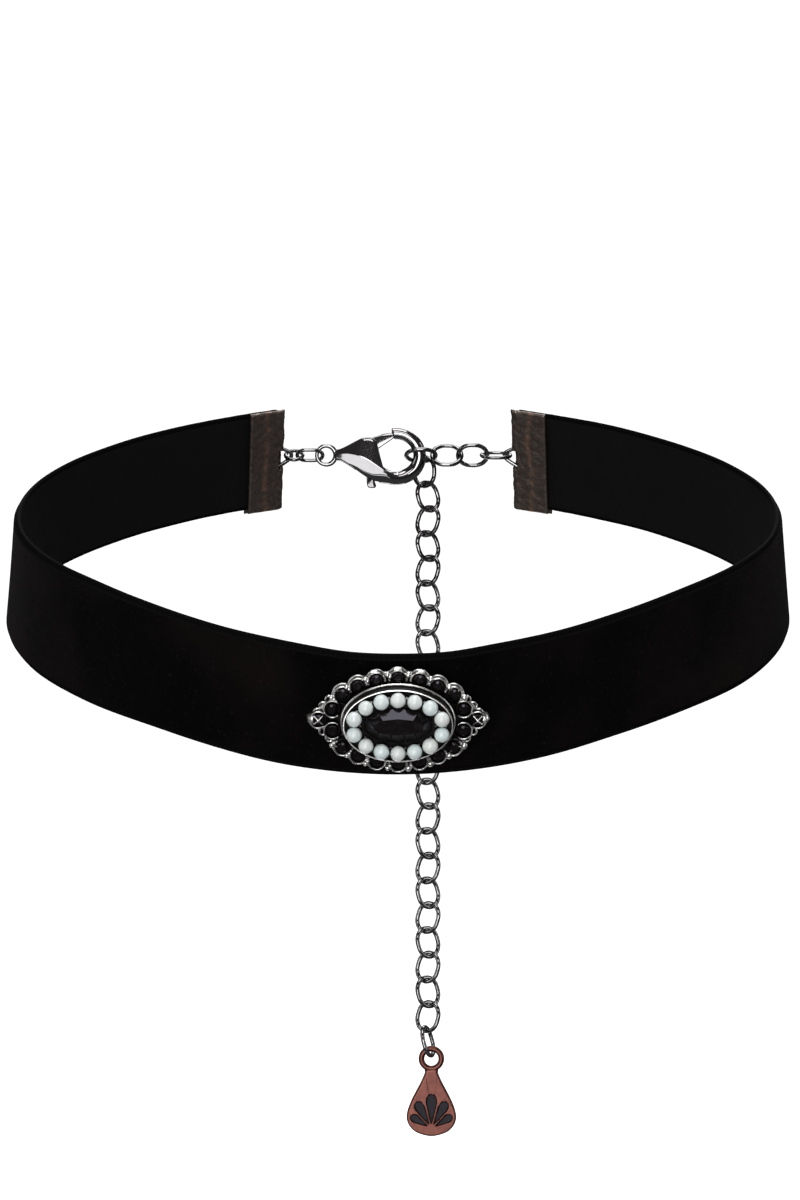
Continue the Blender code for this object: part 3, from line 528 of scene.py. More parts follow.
def pearl_places():
    """Evenly spaced places along the pearls' oval, from the top, anticlockwise."""
    angles = np.linspace(0.0, math.tau, 721) + math.pi / 2
    oval = np.column_stack([np.cos(angles), np.sin(angles)]) * pearl_oval()
    travelled = travelled_along(oval)
    stops = travelled[-1] * np.arange(PEARL_COUNT) / PEARL_COUNT
    return list(zip(*(np.interp(stops, travelled, side) for side in oval.T)))


# Shader effects that several finishes share
SOCKET_KINDS = {"colour": "Color", "value": "Float", "vector": "Vector"}


def group(name, inputs, outputs):
    """A new node group with named sockets, its input sockets and its output node."""
    tree = bpy.data.node_groups.new(name, "ShaderNodeTree")
    for side, sockets in (("INPUT", inputs), ("OUTPUT", outputs)):
        for label, kind, *default in sockets:
            kind = "NodeSocket" + SOCKET_KINDS[kind]
            socket = tree.interface.new_socket(label, in_out=side, socket_type=kind)
            if default:
                socket.default_value = default[0]
    inside = tree.nodes.new("NodeGroupInput").outputs
    return tree, inside, tree.nodes.new("NodeGroupOutput").inputs


def fill(tree, socket, value):
    """Feed a socket from another one, or set it to a number or a colour."""
    if isinstance(value, (int, float)):
        socket.default_value = value
    elif isinstance(value, tuple):
        socket.default_value = (*value[:3], 1.0)
    elif value is not None:
        tree.links.new(value, socket)


def math_node(tree, operation, first, second=None, third=None, clamp=False):
    """A Math node fed by sockets or numbers; gives its output socket."""
    node = tree.nodes.new("ShaderNodeMath")
    node.operation = operation
    node.use_clamp = clamp
    for socket, value in zip(node.inputs, (first, second, third)):
        fill(tree, socket, value)
    return node.outputs[0]


def mix_colour(tree, share, first, second):
    """A colour Mix node fed by sockets or colours; gives its output socket."""
    node = tree.nodes.new("ShaderNodeMix")
    node.data_type = "RGBA"
    for index, value in ((0, share), (6, first), (7, second)):
        fill(tree, node.inputs[index], value)
    return node.outputs[2]


def noise_node(tree, vector, scale, detail=2.0, distortion=0.0):
    """A Noise texture; gives its value socket."""
    node = tree.nodes.new("ShaderNodeTexNoise")
    values = {"Vector": vector, "Scale": scale, "Detail": detail, "Distortion": distortion}
    for label, value in values.items():
        fill(tree, node.inputs[label], value)
    return node.outputs[0]


def range_node(tree, value, low, high, to_low=0.0, to_high=1.0):
    """A clamped Map Range from sockets or numbers; gives its output socket."""
    node = tree.nodes.new("ShaderNodeMapRange")
    for socket, item in zip(node.inputs, (value, low, high, to_low, to_high)):
        fill(tree, socket, item)
    return node.outputs[0]


def worn_plating():
    """Plated metal: bright where it is rubbed, dark in its hollows, with fine grain and pits."""
    tree, inside, outside = group(
        "Worn Plating",
        (
            ("Vector", "vector"),
            ("Rubbed", "colour", (0.8, 0.8, 0.8, 1.0)),
            ("Tarnished", "colour", (0.05, 0.05, 0.05, 1.0)),
            ("Shine", "value", 0.5),
            ("Spots", "value", 900.0),
            ("Unevenness", "value", 0.4),
            ("Smooth", "value", 0.15),
            ("Rough", "value", 0.5),
        ),
        (("Colour", "colour"), ("Roughness", "value"), ("Height", "value")),
    )
    broad = noise_node(tree, inside["Vector"], inside["Spots"], 4.0, 0.4)
    fine_scale = math_node(tree, "MULTIPLY", inside["Spots"], 6.0)
    fine = noise_node(tree, inside["Vector"], fine_scale, 3.0)
    stir = math_node(tree, "SUBTRACT", broad, 0.5)
    stir = math_node(tree, "MULTIPLY", stir, inside["Unevenness"])
    stir = math_node(tree, "MULTIPLY_ADD", stir, 2.0, inside["Shine"])
    share = range_node(tree, stir, 0.15, 0.85)
    colour = mix_colour(tree, share, inside["Tarnished"], inside["Rubbed"])
    rough = range_node(tree, share, 0.0, 1.0, inside["Rough"], inside["Smooth"])
    fine_stir = math_node(tree, "SUBTRACT", fine, 0.5)
    rough = math_node(tree, "MULTIPLY_ADD", fine_stir, 0.12, rough, clamp=True)
    height = math_node(tree, "MULTIPLY_ADD", broad, 0.7, math_node(tree, "MULTIPLY", fine, 0.3))
    for label, socket in (("Colour", colour), ("Roughness", rough), ("Height", height)):
        tree.links.new(socket, outside[label])
    return tree


def settled_dust():
    """Faint pale specks and clouds of dust over a dark colour."""
    tree, inside, outside = group(
        "Settled Dust",
        (
            ("Vector", "vector"),
            ("Colour", "colour", (0.01, 0.01, 0.01, 1.0)),
            ("Dust", "colour", (0.10, 0.08, 0.07, 1.0)),
            ("Amount", "value", 0.2),
            ("Clouds", "value", 60.0),
            ("Specks", "value", 2500.0),
        ),
        (("Colour", "colour"),),
    )
    clouds = noise_node(tree, inside["Vector"], inside["Clouds"], 3.0)
    specks = noise_node(tree, inside["Vector"], inside["Specks"], 1.0)
    spots = range_node(tree, specks, 0.66, 0.74)
    cover = math_node(tree, "MULTIPLY_ADD", spots, 0.8, range_node(tree, clouds, 0.42, 0.75))
    cover = math_node(tree, "MULTIPLY", cover, inside["Amount"], clamp=True)
    tree.links.new(mix_colour(tree, cover, inside["Colour"], inside["Dust"]), outside["Colour"])
    return tree


def crossed_threads():
    """Height of a fine weave over a flat map in metres: weft ribs crossed by a finer warp."""
    tree, inside, outside = group(
        "Crossed Threads",
        (("Vector", "vector"), ("Weft", "value", 3000.0), ("Warp", "value", 5000.0)),
        (("Height", "value"),),
    )
    split = tree.nodes.new("ShaderNodeSeparateXYZ")
    tree.links.new(inside["Vector"], split.inputs[0])
    weft, warp = (
        math_node(tree, "SINE", math_node(tree, "MULTIPLY", split.outputs[axis], inside[label]))
        for axis, label in enumerate(("Weft", "Warp"))
    )
    height = math_node(tree, "MULTIPLY_ADD", warp, 0.5, weft)
    tree.links.new(math_node(tree, "MULTIPLY_ADD", height, 0.25, 0.5), outside["Height"])
    return tree


# Shared effects by name, and those already made
EFFECTS = {
    "Worn Plating": worn_plating,
    "Settled Dust": settled_dust,
    "Crossed Threads": crossed_threads,
}
GROUPS = {}


class Finish:
    """A material on one Principled shader, with short ways to add what feeds it."""

    def __init__(self, name, colour, roughness, metallic=0.0, **constants):
        self.material = bpy.data.materials.new(name)
        self.material.use_nodes = True
        self.material.diffuse_color = (*colour, 1.0)
        self.tree = self.material.node_tree
        self.shader = self.tree.nodes["Principled BSDF"]
        constants.update(Base_Color=(*colour, 1.0), Roughness=roughness, Metallic=metallic)
        for label, value in constants.items():
            self.shader.inputs[label.replace("_", " ")].default_value = value
        coordinates = self.tree.nodes.new("ShaderNodeTexCoord")
        self.object = coordinates.outputs["Object"]
        self.flat = coordinates.outputs["UV"]

    def attribute(self, name):
        """The value of a mesh attribute."""
        node = self.tree.nodes.new("ShaderNodeAttribute")
        node.attribute_name = name
        return node.outputs["Fac"]

    def effect(self, name, **inputs):
        """The outputs of a shared effect, made the first time that a material asks for it."""
        if name not in GROUPS:
            GROUPS[name] = EFFECTS[name]()
        node = self.tree.nodes.new("ShaderNodeGroup")
        node.node_tree = GROUPS[name]
        for label, value in inputs.items():
            fill(self.tree, node.inputs[label], value)
        return node.outputs

    def weave(self, weft, warp):
        """Height of crossed threads on the flat map; weft and warp are their numbers per metre."""
        return self.effect("Crossed Threads", Vector=self.flat, Weft=weft, Warp=warp)["Height"]

    def noise(self, scale, detail, distortion=0.0):
        """Noise through the piece."""
        return noise_node(self.tree, self.object, scale, detail, distortion)

    def range(self, value, low, high, to_low=0.0, to_high=1.0):
        """A value brought from one range to another."""
        return range_node(self.tree, value, low, high, to_low, to_high)

    def mix(self, share, first, second):
        """A colour between two others."""
        return mix_colour(self.tree, share, first, second)

    def feed(self, label, socket):
        """Link a socket to the shader."""
        self.tree.links.new(socket, self.shader.inputs[label])

    def bump(self, height, distance, strength=1.0, under=None):
        """Raise the surface, by a distance in metres; gives the normal for a further bump."""
        node = self.tree.nodes.new("ShaderNodeBump")
        values = {"Distance": distance, "Strength": strength, "Height": height, "Normal": under}
        for label, value in values.items():
            fill(self.tree, node.inputs[label], value)
        self.feed("Normal", node.outputs["Normal"])
        return node.outputs["Normal"]


# Metals worn along what stands proud: colour where rubbed, colour in the hollows (each a colour or
# the name of its setting), lumps for each metre, unevenness, roughness where rubbed and where
# tarnished, depth of the grain
PLATINGS = {
    "black_nickel": ("gunmetal", (0.060, 0.054, 0.054), 500.0, 0.08, 0.05, 0.12, 0.000001),
    "antique_silver": ("silver", (0.012, 0.011, 0.011), 1500.0, 0.35, 0.27, 0.45, 0.00003),
    "antique_copper": ("copper", (0.022, 0.021, 0.024), 900.0, 0.30, 0.36, 0.42, 0.00003),
    "dark_bronze_plate": ((0.34, 0.29, 0.26), "bronze", 1900.0, 0.40, 0.32, 0.50, 0.00006),
}


def plated(name, settings):
    """One of the plated metals, and the socket of its colour."""
    rubbed, tarnished, spots, unevenness, smooth, rough, depth = PLATINGS[name]
    rubbed, tarnished = (
        tuple(getattr(settings, colour)) if isinstance(colour, str) else colour
        for colour in (rubbed, tarnished)
    )
    finish = Finish(name, rubbed, smooth, 1.0)
    plating = finish.effect(
        "Worn Plating",
        Vector=finish.object,
        Rubbed=rubbed,
        Tarnished=tarnished,
        Shine=finish.attribute("shine"),
        Spots=spots,
        Unevenness=unevenness,
        Smooth=smooth,
        Rough=rough,
    )
    finish.feed("Base Color", plating["Colour"])
    finish.feed("Roughness", plating["Roughness"])
    finish.bump(plating["Height"], depth)
    return finish, plating["Colour"]


def times(colour, factor):
    """A colour made lighter by a factor."""
    return tuple(factor * channel for channel in colour)


def velvet_pile(settings):
    """Short black pile that swallows light, stroked in patches, with a little dust."""
    pile = tuple(settings.pile)
    finish = Finish(
        "black_velvet_pile",
        pile,
        0.95,
        Sheen_Weight=0.03,
        Sheen_Roughness=0.40,
        Sheen_Tint=(0.75, 0.70, 0.72, 1.0),
        Specular_IOR_Level=0.03,
    )
    nap = finish.noise(9000.0, 2.0)
    strokes = finish.noise(140.0, 3.0, 0.8)
    half = math_node(finish.tree, "MULTIPLY", strokes, 0.5)
    shade = math_node(finish.tree, "MULTIPLY_ADD", nap, 0.5, half)
    dust = finish.effect(
        "Settled Dust",
        Vector=finish.object,
        Colour=finish.mix(finish.range(shade, 0.35, 0.7), pile, times(pile, 2.2)),
        Dust=(0.022, 0.015, 0.013),
        Amount=settings.dust,
        Clouds=45.0,
        Specks=1900.0,
    )
    finish.feed("Base Color", dust["Colour"])
    finish.bump(nap, 0.00012, 0.8, finish.bump(strokes, 0.0006, 0.4))
    return finish.material


def satin_back(settings):
    """The ribbon's inner face: smooth black satin with a faint weave."""
    back = tuple(settings.back)
    finish = Finish("black_satin_back", back, 0.42, Specular_IOR_Level=0.12)
    weave = finish.weave(16000.0, 9000.0)
    runs = noise_node(finish.tree, finish.flat, 260.0, 3.0)
    half = math_node(finish.tree, "MULTIPLY", weave, 0.5)
    finish.feed("Base Color", finish.mix(half, back, times(back, 2.0)))
    finish.feed("Roughness", finish.range(runs, 0.3, 0.7, 0.36, 0.56))
    finish.bump(weave, 0.00003, 0.7, finish.bump(runs, 0.0003, 0.3))
    return finish.material


def selvedge_weave(settings):
    """The ribbon's woven edge, a little lighter than the pile."""
    pile = tuple(settings.pile)
    finish = Finish("ribbon_selvedge", pile, 0.85, Specular_IOR_Level=0.06)
    weave = finish.weave(9000.0, 7000.0)
    finish.feed("Base Color", finish.mix(weave, pile, times(pile, 3.4)))
    finish.bump(weave, 0.00006, 0.8)
    return finish.material


def dark_bronze(settings):
    """Dark bronze plate with a coppery streak and rubbed, sparkling edges."""
    finish, plate_colour = plated("dark_bronze_plate", settings)
    patches = finish.range(finish.noise(1100.0, 4.0, 0.6), 0.34, 0.66)
    share = math_node(finish.tree, "MULTIPLY", patches, finish.attribute("copper"))
    finish.feed("Base Color", finish.mix(share, plate_colour, tuple(settings.rubbed_copper)))
    return finish.material


def pearl_lustre(settings):
    """Nacre: pale, with a cool or warm cast and a clear coat."""
    pearl = tuple(settings.pearl)
    finish = Finish("pearl_lustre", pearl, 0.22, Coat_Roughness=0.10)
    clouds = finish.noise(420.0, 3.0, 0.5)
    cast = finish.mix(finish.attribute("shine"), (0.77, 0.91, 0.92), (0.89, 0.88, 0.85))
    finish.feed("Base Color", finish.mix(finish.range(clouds, 0.3, 0.7, 0.25, 0.75), cast, pearl))
    finish.feed("Coat Weight", finish.range(clouds, 0.2, 0.8, 0.5, 0.8))
    finish.bump(clouds, 0.00002, 0.5)
    return finish.material


def cut_black(settings):
    """Opaque black cut glass with a faint haze and dust."""
    stone = tuple(settings.stone)
    tint = (0.88, 0.84, 1.0, 1.0)
    finish = Finish("cut_black_glass", stone, 0.05, Specular_IOR_Level=0.45, Specular_Tint=tint)
    dust = finish.effect(
        "Settled Dust",
        Vector=finish.object,
        Colour=stone,
        Dust=(0.05, 0.045, 0.045),
        Amount=0.06,
        Clouds=700.0,
        Specks=5200.0,
    )
    finish.feed("Base Color", dust["Colour"])
    finish.feed("Roughness", finish.range(finish.noise(1500.0, 3.0, 1.0), 0.3, 0.8, 0.03, 0.12))
    return finish.material


def unit_size(label, text, default, low, high):
    """A length property in metres."""
    limits = {"min": low, "max": high, "unit": "LENGTH", "precision": 5}
    return bpy.props.FloatProperty(name=label, description=text, default=default, **limits)


def colour_of(label, text, default):
    """A colour property."""
    limits = {"subtype": "COLOR", "size": 3, "min": 0.0, "max": 1.0}
    return bpy.props.FloatVectorProperty(name=label, description=text, default=default, **limits)


def share_of(label, text, default):
    """A property from 0 to 1."""
    limits = {"subtype": "FACTOR", "min": 0.0, "max": 1.0}
    return bpy.props.FloatProperty(name=label, description=text, default=default, **limits)


class ChokerRibbon(bpy.types.PropertyGroup):
    """Sizes and colours of the ribbon."""

    pile: colour_of("Pile", "Colour of the velvet pile", (0.0011, 0.0010, 0.0011))
    back: colour_of("Back", "Colour of the satin back", (0.0058, 0.0058, 0.0061))
    dust: share_of("Dust", "How much dust lies in the pile", 0.30)
    selvedge: unit_size("Selvedge", "Width of the woven edge", 0.0008, 0.0003, 0.002)
    waviness: unit_size("Waviness", "How far the ribbon's edges wander", 0.00012, 0.0, 0.0005)
    dip: unit_size("Dip", "How far the upper edge dips behind the ornament", 0.00045, 0.0, 0.001)
    wrinkle: unit_size("Wrinkles", "Depth of the wrinkles beside the crimps", 0.00016, 0.0, 0.0004)


class ChokerMetals(bpy.types.PropertyGroup):
    """Colours and sizes of the metal pieces."""

    bronze: colour_of("Bronze", "Colour of the crimps in their hollows", (0.145, 0.115, 0.101))
    rubbed_copper: colour_of("Streak", "Colour of the streak on the crimps", (0.50, 0.29, 0.20))
    gunmetal: colour_of("Black Nickel", "Colour of the clasp and the chain", (0.385, 0.38, 0.39))
    silver: colour_of("Silver", "Colour of the ornament where it is rubbed", (0.95, 0.94, 0.92))
    copper: colour_of("Copper", "Colour of the drop where it is rubbed", (0.175, 0.066, 0.052))
    hammering: unit_size("Hammering", "Depth of the dents in the crimps", 0.00006, 0.0, 0.0002)
    dent: unit_size("Dents", "Distance between the dents in the crimps", 0.0010, 0.0004, 0.003)


class ChokerStones(bpy.types.PropertyGroup):
    """Colours and sizes of the pearls and stones."""

    pearl: colour_of("Pearl", "Body colour of the pearls", (0.82, 0.90, 0.88))
    stone: colour_of("Stone", "Colour of the black stones", (0.0040, 0.0028, 0.0022))
    facets: bpy.props.IntProperty(
        name="Facets", description="Facets round the large stone", default=10, min=8, max=20
    )
    table: share_of("Table", "Length of the large stone's table", 0.72)


class ChokerStudio(bpy.types.PropertyGroup):
    """The floor and the lights."""

    paper: colour_of("Paper", "Colour of the floor and the backdrop", (0.90, 0.90, 0.90))
    floor_drop: unit_size("Floor", "How far the floor lies below the drop", 0.06, 0.01, 0.5)
    light: bpy.props.FloatProperty(
        name="Light", description="Strength of all the lamps", default=1.35, min=0.1, max=5.0
    )


SETTINGS = {
    "choker_ribbon": ChokerRibbon,
    "choker_metals": ChokerMetals,
    "choker_stones": ChokerStones,
    "choker_studio": ChokerStudio,
}


class ChokerPiece:
    """What the operators for the pieces have in common."""

    bl_options = {"REGISTER", "UNDO"}
    metals = {}

    def metal(self, context, name):
        """A plated metal, made once."""
        if name not in self.metals:
            self.metals[name] = plated(name, context.scene.choker_metals)[0].material
        return self.metals[name]


# Spacing of the ribbon's rows, spacing beside the crimps, and how far that finer part reaches
RIBBON_STEP = 0.0009
RIBBON_FINE_STEP = 0.00025
RIBBON_FINE_LENGTH = 0.016


def ribbon_stations(end_turn):
    """Turns from one end of the ribbon to the other, closer together beside the crimps."""
    turns = np.linspace(0.0, end_turn, 2000)
    travelled = travelled_along(np.array([plan_point(turn) for turn in turns]))
    length = travelled[-1]
    broad = length - RIBBON_FINE_LENGTH
    coarse = np.linspace(0.0, broad, int(broad / RIBBON_STEP) + 1)
    fine = np.linspace(broad, length, int(RIBBON_FINE_LENGTH / RIBBON_FINE_STEP) + 1)[1:]
    along = np.concatenate([coarse, fine])
    along = np.concatenate([-along[:0:-1], along])
    return np.sign(along) * np.interp(np.abs(along), travelled, turns), along, length


# Ribbon's edge from the pile round to the satin: in from the very edge as a share of the selvedge's
# width, and depth through the ribbon as a share of half its thickness, outwards first
RIBBON_EDGE = (
    *((1.45, -1.00), (1.22, -0.98), (1.08, -0.86), (1.00, -0.55), (0.92, -0.36)),
    *((0.75, -0.42), (0.50, -0.46), (0.25, -0.40), (0.07, -0.20), (0.00, 0.10)),
    *((0.06, 0.42), (0.22, 0.62), (0.50, 0.72), (0.90, 0.75)),
)
# Columns on each half of the pile's face and the satin's
FACE_COLUMNS = 10
# Wandering of the upper edge, of the lower edge and bow of the face: lumps for each metre, where in
# the noise, and share of the waviness
RIBBON_WAVES = ((90, 1.7, 1.0), (90, 7.3, 1.0), (40, 4.1, 1.5))
# Wrinkles: lumps for each metre along the ribbon and for half its width across
WRINKLE_LUMPS = (900, 1.6)
# How far from the crimps the edges are held straight, how far the wrinkles reach, and half the
# length of the dip behind the ornament
HELD_LENGTH = 0.006
WRINKLE_LENGTH = 0.0075
DIP_REACH = 0.011
# Rise of the upper edge and sag of the lower one to each side: height, middle and spread as turns
UPPER_RISE = (0.00035, 1.08, 0.28)
LOWER_SAG_LEFT = (0.00050, 1.30, 0.50)
LOWER_SAG_RIGHT = (0.00032, 1.30, 0.50)


def swelling(turn, height, middle, spread):
    """A broad swelling of an edge, the same to each side of the front."""
    return height * math.exp(-(((abs(turn) - middle) / spread) ** 2))


class CHOKER_OT_ribbon(ChokerPiece, bpy.types.Operator):
    """Make the velvet ribbon: pile outside, satin inside and a woven edge."""

    bl_idname = "choker.ribbon"
    bl_label = "Velvet Ribbon"

    def execute(self, context):
        settings = context.scene.choker_ribbon
        to_crimp = ribbon_frame(crimp_turn()).inverted()
        slot_end = CRIMP_LENGTH / 2 - CRIMP_FOLD - FIT_GAP
        low, high = crimp_turn() - math.radians(5), crimp_turn() + math.radians(8)
        holds = lambda turn: (to_crimp @ plan_point(turn)).x < slot_end
        turns, along, length = ribbon_stations(last_turn(low, high, holds, 39))
        upper, section = self.section(settings.selvedge)
        rows = [
            self.row(settings, turn, distance, length - abs(distance), section)
            for turn, distance in zip(turns, along)
        ]
        build = Build()
        build.capped(rows, 0.5)
        mesh = build.mesh("velvet_ribbon", math.radians(80))
        for finish in (velvet_pile, satin_back, selvedge_weave):
            mesh.materials.append(finish(settings))
        self.map_and_paint(mesh, section, along, upper)
        ribbon = place("velvet_ribbon", mesh, None, ["velvet_band"], "black_velvet")
        return {"FINISHED"}

    def section(self, selvedge):
        """Height and depth of the ribbon's corners, and how many belong to its upper half."""
        half_width, half_depth = BAND_WIDTH / 2, BAND_THICKNESS / 2
        edge = [(half_width - inset * selvedge, deep * half_depth) for inset, deep in RIBBON_EDGE]
        face = np.linspace(0.0, 1.0, FACE_COLUMNS + 1)[:-1]
        upper = [(edge[0][0] * share, edge[0][1]) for share in face]
        upper += edge + [(edge[-1][0] * share, edge[-1][1]) for share in face[::-1]]
        return len(upper), np.array(upper + [(-high, deep) for high, deep in upper[-2:0:-1]])

    def row(self, settings, turn, distance, to_end, section):
        """The ribbon's corners at one place along it."""
        made = TILT @ ribbon_frame(turn)
        wave = settings.waviness * (1 - math.exp(-to_end / HELD_LENGTH))
        top, bottom, bow = (
            noise.noise(Vector((distance * lumps, at, 0.0))) * wave * share
            for lumps, at, share in RIBBON_WAVES
        )
        top += swelling(turn, *UPPER_RISE)
        top -= settings.dip * math.exp(-((distance / DIP_REACH) ** 4))
        bottom -= swelling(turn, *(LOWER_SAG_LEFT if turn < 0 else LOWER_SAG_RIGHT))
        wrinkle = settings.wrinkle * math.exp(-to_end / WRINKLE_LENGTH)
        row = []
        for high, deep in section:
            share = high / (BAND_WIDTH / 2)
            high += top * max(share, 0.0) ** 2 + bottom * max(-share, 0.0) ** 2
            spot = (distance * WRINKLE_LUMPS[0], share * WRINKLE_LUMPS[1], 2.0)
            deep += bow * math.cos(share * 2.2) + noise.noise(Vector(spot)) * wrinkle
            row.append(made @ Vector((0.0, deep, high)))
        return row

    def map_and_paint(self, mesh, section, along, upper):
        """Lay a flat map in metres over the ribbon and give each face its finish."""
        wide = len(section)
        flat = mesh.uv_layers.new(name="flat")
        pile_columns = FACE_COLUMNS + 1
        edge_columns = pile_columns + len(RIBBON_EDGE) - 2
        for polygon in mesh.polygons:
            columns = [corner % wide for corner in polygon.vertices]
            if len(columns) > 4:
                polygon.material_index = 0
                continue
            column = min(columns) if max(columns) - min(columns) < wide / 2 else wide - 1
            mirrored = column if column < upper - 1 else wide - 1 - column
            in_edge = 2 if mirrored < edge_columns else 1
            polygon.material_index = 0 if mirrored < pile_columns else in_edge
            for loop in polygon.loop_indices:
                corner = mesh.loops[loop].vertex_index
                flat.data[loop].uv = (along[corner // wide], section[corner % wide][0])


# Crimps: radius of the fold's corners, step of the leaves' columns, rows up the leaves, how far the
# edges are rounded, and how far the outer leaf has slipped down and in
CRIMP_CORNER = 0.0006
CRIMP_STEP = 0.0002
CRIMP_ROWS = 94
CRIMP_SOFTNESS = 0.00022
LEAF_SLIP = (0.0008, 0.0006)
# How far the bright wear reaches from the fold and from the two ends, and the spacing and height of
# the teeth along the fold
FOLD_WEAR = 0.0007
END_WEAR = 0.0004
TEETH = (0.00055, 0.00006)
# Streak of copper: place across the leaf, how far it wanders and its half width
STREAK = (-0.0003, 0.0009, 0.00042)
# Notch cut out of the fold for the loop: out from the fold, and up as shares of the loop's half
# spread
NOTCH = ((-0.0011, -0.95), (0.0004, -0.80), (0.0004, 0.80), (-0.0011, 0.95))


def crimp_path():
    """Middle line of the folded plate's section, from the inner leaf's free end round the fold."""
    half = BAND_THICKNESS / 2 + FIT_GAP + CRIMP_WALL / 2
    x = CRIMP_LENGTH / 2 - CRIMP_WALL / 2 - CRIMP_CORNER
    straight = np.arange(-CRIMP_LENGTH / 2, x, CRIMP_STEP)
    points = [(along, half) for along in straight]
    for y, start in ((half - CRIMP_CORNER, 90), (-half + CRIMP_CORNER, 0)):
        for angle in np.radians(np.linspace(start, start - 90, 6)):
            points.append((x + CRIMP_CORNER * math.cos(angle), y + CRIMP_CORNER * math.sin(angle)))
    return np.array(points + [(along, -half) for along in straight[::-1]])


def crimp_mesh(settings, seed, down):
    """One folded plate with its dents and the cut for its loop; its outer leaf has slipped."""
    path = crimp_path()
    travelled = travelled_along(path)
    tangent = unit(np.gradient(path, axis=0))
    outward = np.stack([-tangent[:, 1], tangent[:, 0]], axis=1)
    half_height = BAND_WIDTH / 2 + CRIMP_OVERHANG
    fold_x = CRIMP_LENGTH / 2
    near_fold = np.exp(-np.maximum(fold_x - path[:, 0], 0.0) / FOLD_WEAR)
    from_ends = np.minimum(travelled, travelled[-1] - travelled)
    rows, shine, copper = [], [], []
    for height in np.linspace(-half_height, half_height, CRIMP_ROWS):
        to_edge = np.minimum(half_height - abs(height), from_ends)
        fullness = np.sqrt(1 - (1 - np.clip(to_edge / CRIMP_SOFTNESS, 0.08, 1.0)) ** 2)
        places = [(x, y * 0.6, height) for x, y in path]
        dents = grain(places, 1 / settings.dent, seed)
        dents = dents + 0.5 * grain(places, 2.3 / settings.dent, seed + 3)
        teeth = math.sin(height / TEETH[0] + seed * 2) * TEETH[1]
        lift = dents * settings.hammering * (1 + 1.5 * near_fold) + teeth * near_fold
        skins = []
        for offset in (CRIMP_WALL / 2 * fullness + lift, -CRIMP_WALL / 2 * fullness):
            x, y = (path + outward * offset[:, None]).T
            slip = smooth_step(-y, -0.0010, 0.0010)
            z = height - LEAF_SLIP[0] * down * slip
            skins.append(np.column_stack([x, y + LEAF_SLIP[1] * slip, z]))
        rows.append(np.concatenate([skins[0], skins[1][::-1]]))
        near_end = math.exp(-(half_height - abs(height)) / END_WEAR)
        sparkle = np.clip(grain(places, 1400.0, seed + 9) * 2.6, 0.0, 1.0)
        worn = 0.30 + 0.22 * dents + sparkle * np.maximum(near_fold, near_end)
        middle = STREAK[0] + STREAK[1] * noise.noise(Vector((height * 130, seed, 0.0)))
        streak = np.exp(-(((path[:, 0] - middle) / STREAK[2]) ** 2)) * (path[:, 1] > 0)
        flecks = np.clip(grain(places, 1100.0, seed + 5) * 2.0 - 0.6, 0.0, 1.0) * 0.6
        shine += [worn, np.full(len(worn), 0.05)]
        copper += [np.clip(streak + flecks, 0.0, 1.0), np.zeros(len(worn))]
    build = Build()
    build.capped(rows, np.concatenate(shine))
    mesh = build.mesh("crimp_plate", math.radians(50))
    note_values(mesh, "copper", copper)
    half_spread = (CRIMP_LOOP_SPREAD - CRIMP_LOOP_WIRE) / 2
    outline = [(fold_x + out, half_spread * share) for out, share in NOTCH]
    tool = prism(outline, 0.0010).mesh("notch")
    tool.transform(Matrix.Translation((0.0, 0.0007, 0.0)))
    return cut(mesh, tool, "crimp")


def crimp_loop_mesh():
    """The triangular wire loop soldered into a crimp's fold."""
    base = CRIMP_LENGTH / 2 - CRIMP_FOLD
    half_spread = (CRIMP_LOOP_SPREAD - CRIMP_LOOP_WIRE) / 2
    side = [(lerp(base, APEX_OUT, out), half_spread * spread) for out, spread in CRIMP_LOOP_BEND]
    points = through(side + [(x, -z) for x, z in reversed(side)], 46)
    path = np.insert(points, 1, 0.0, axis=1)
    foot = [(base, 0.0, z) for z in np.linspace(-half_spread, half_spread, 8)]
    build = Build()
    shine = np.repeat(0.75 + 0.2 * grain(path, 900.0, 4.0), WIRE_SIDES)
    build.tube(path, CRIMP_LOOP_WIRE / 2, WIRE_SIDES, shine, closed=False)
    build.tube(foot, CRIMP_LOOP_WIRE / 2, WIRE_SIDES, 0.4, closed=False)
    return build.mesh("crimp_loop")


class CHOKER_OT_crimps(ChokerPiece, bpy.types.Operator):
    """Make the two folded ribbon ends with their soldered loops."""

    bl_idname = "choker.crimps"
    bl_label = "Ribbon Ends"

    def execute(self, context):
        settings = context.scene.choker_metals
        bronze = dark_bronze(settings)
        nickel = self.metal(context, "black_nickel")
        right = TILT @ ribbon_frame(crimp_turn())
        flip = Matrix.Diagonal((-1.0, 1.0, 1.0, 1.0))
        left = flip @ right @ Matrix.Diagonal((1.0, 1.0, -1.0, 1.0))
        crimps = (("end_crimp_left", left, 2.0, -1), ("end_crimp_right", right, 5.0, 1))
        for name, matrix, seed, down in crimps:
            mesh = crimp_mesh(settings, seed, down)
            place(name + "_plate", mesh, bronze, [name], "dark_bronze", matrix)
            place(name + "_loop", crimp_loop_mesh(), nickel, [], "gunmetal", matrix)
        return {"FINISHED"}


# Sides of a bent wire, points along a link's middle line and gap of its closed seam
WIRE_SIDES = 12
LINK_POINTS = 36
SEAM = 0.00001


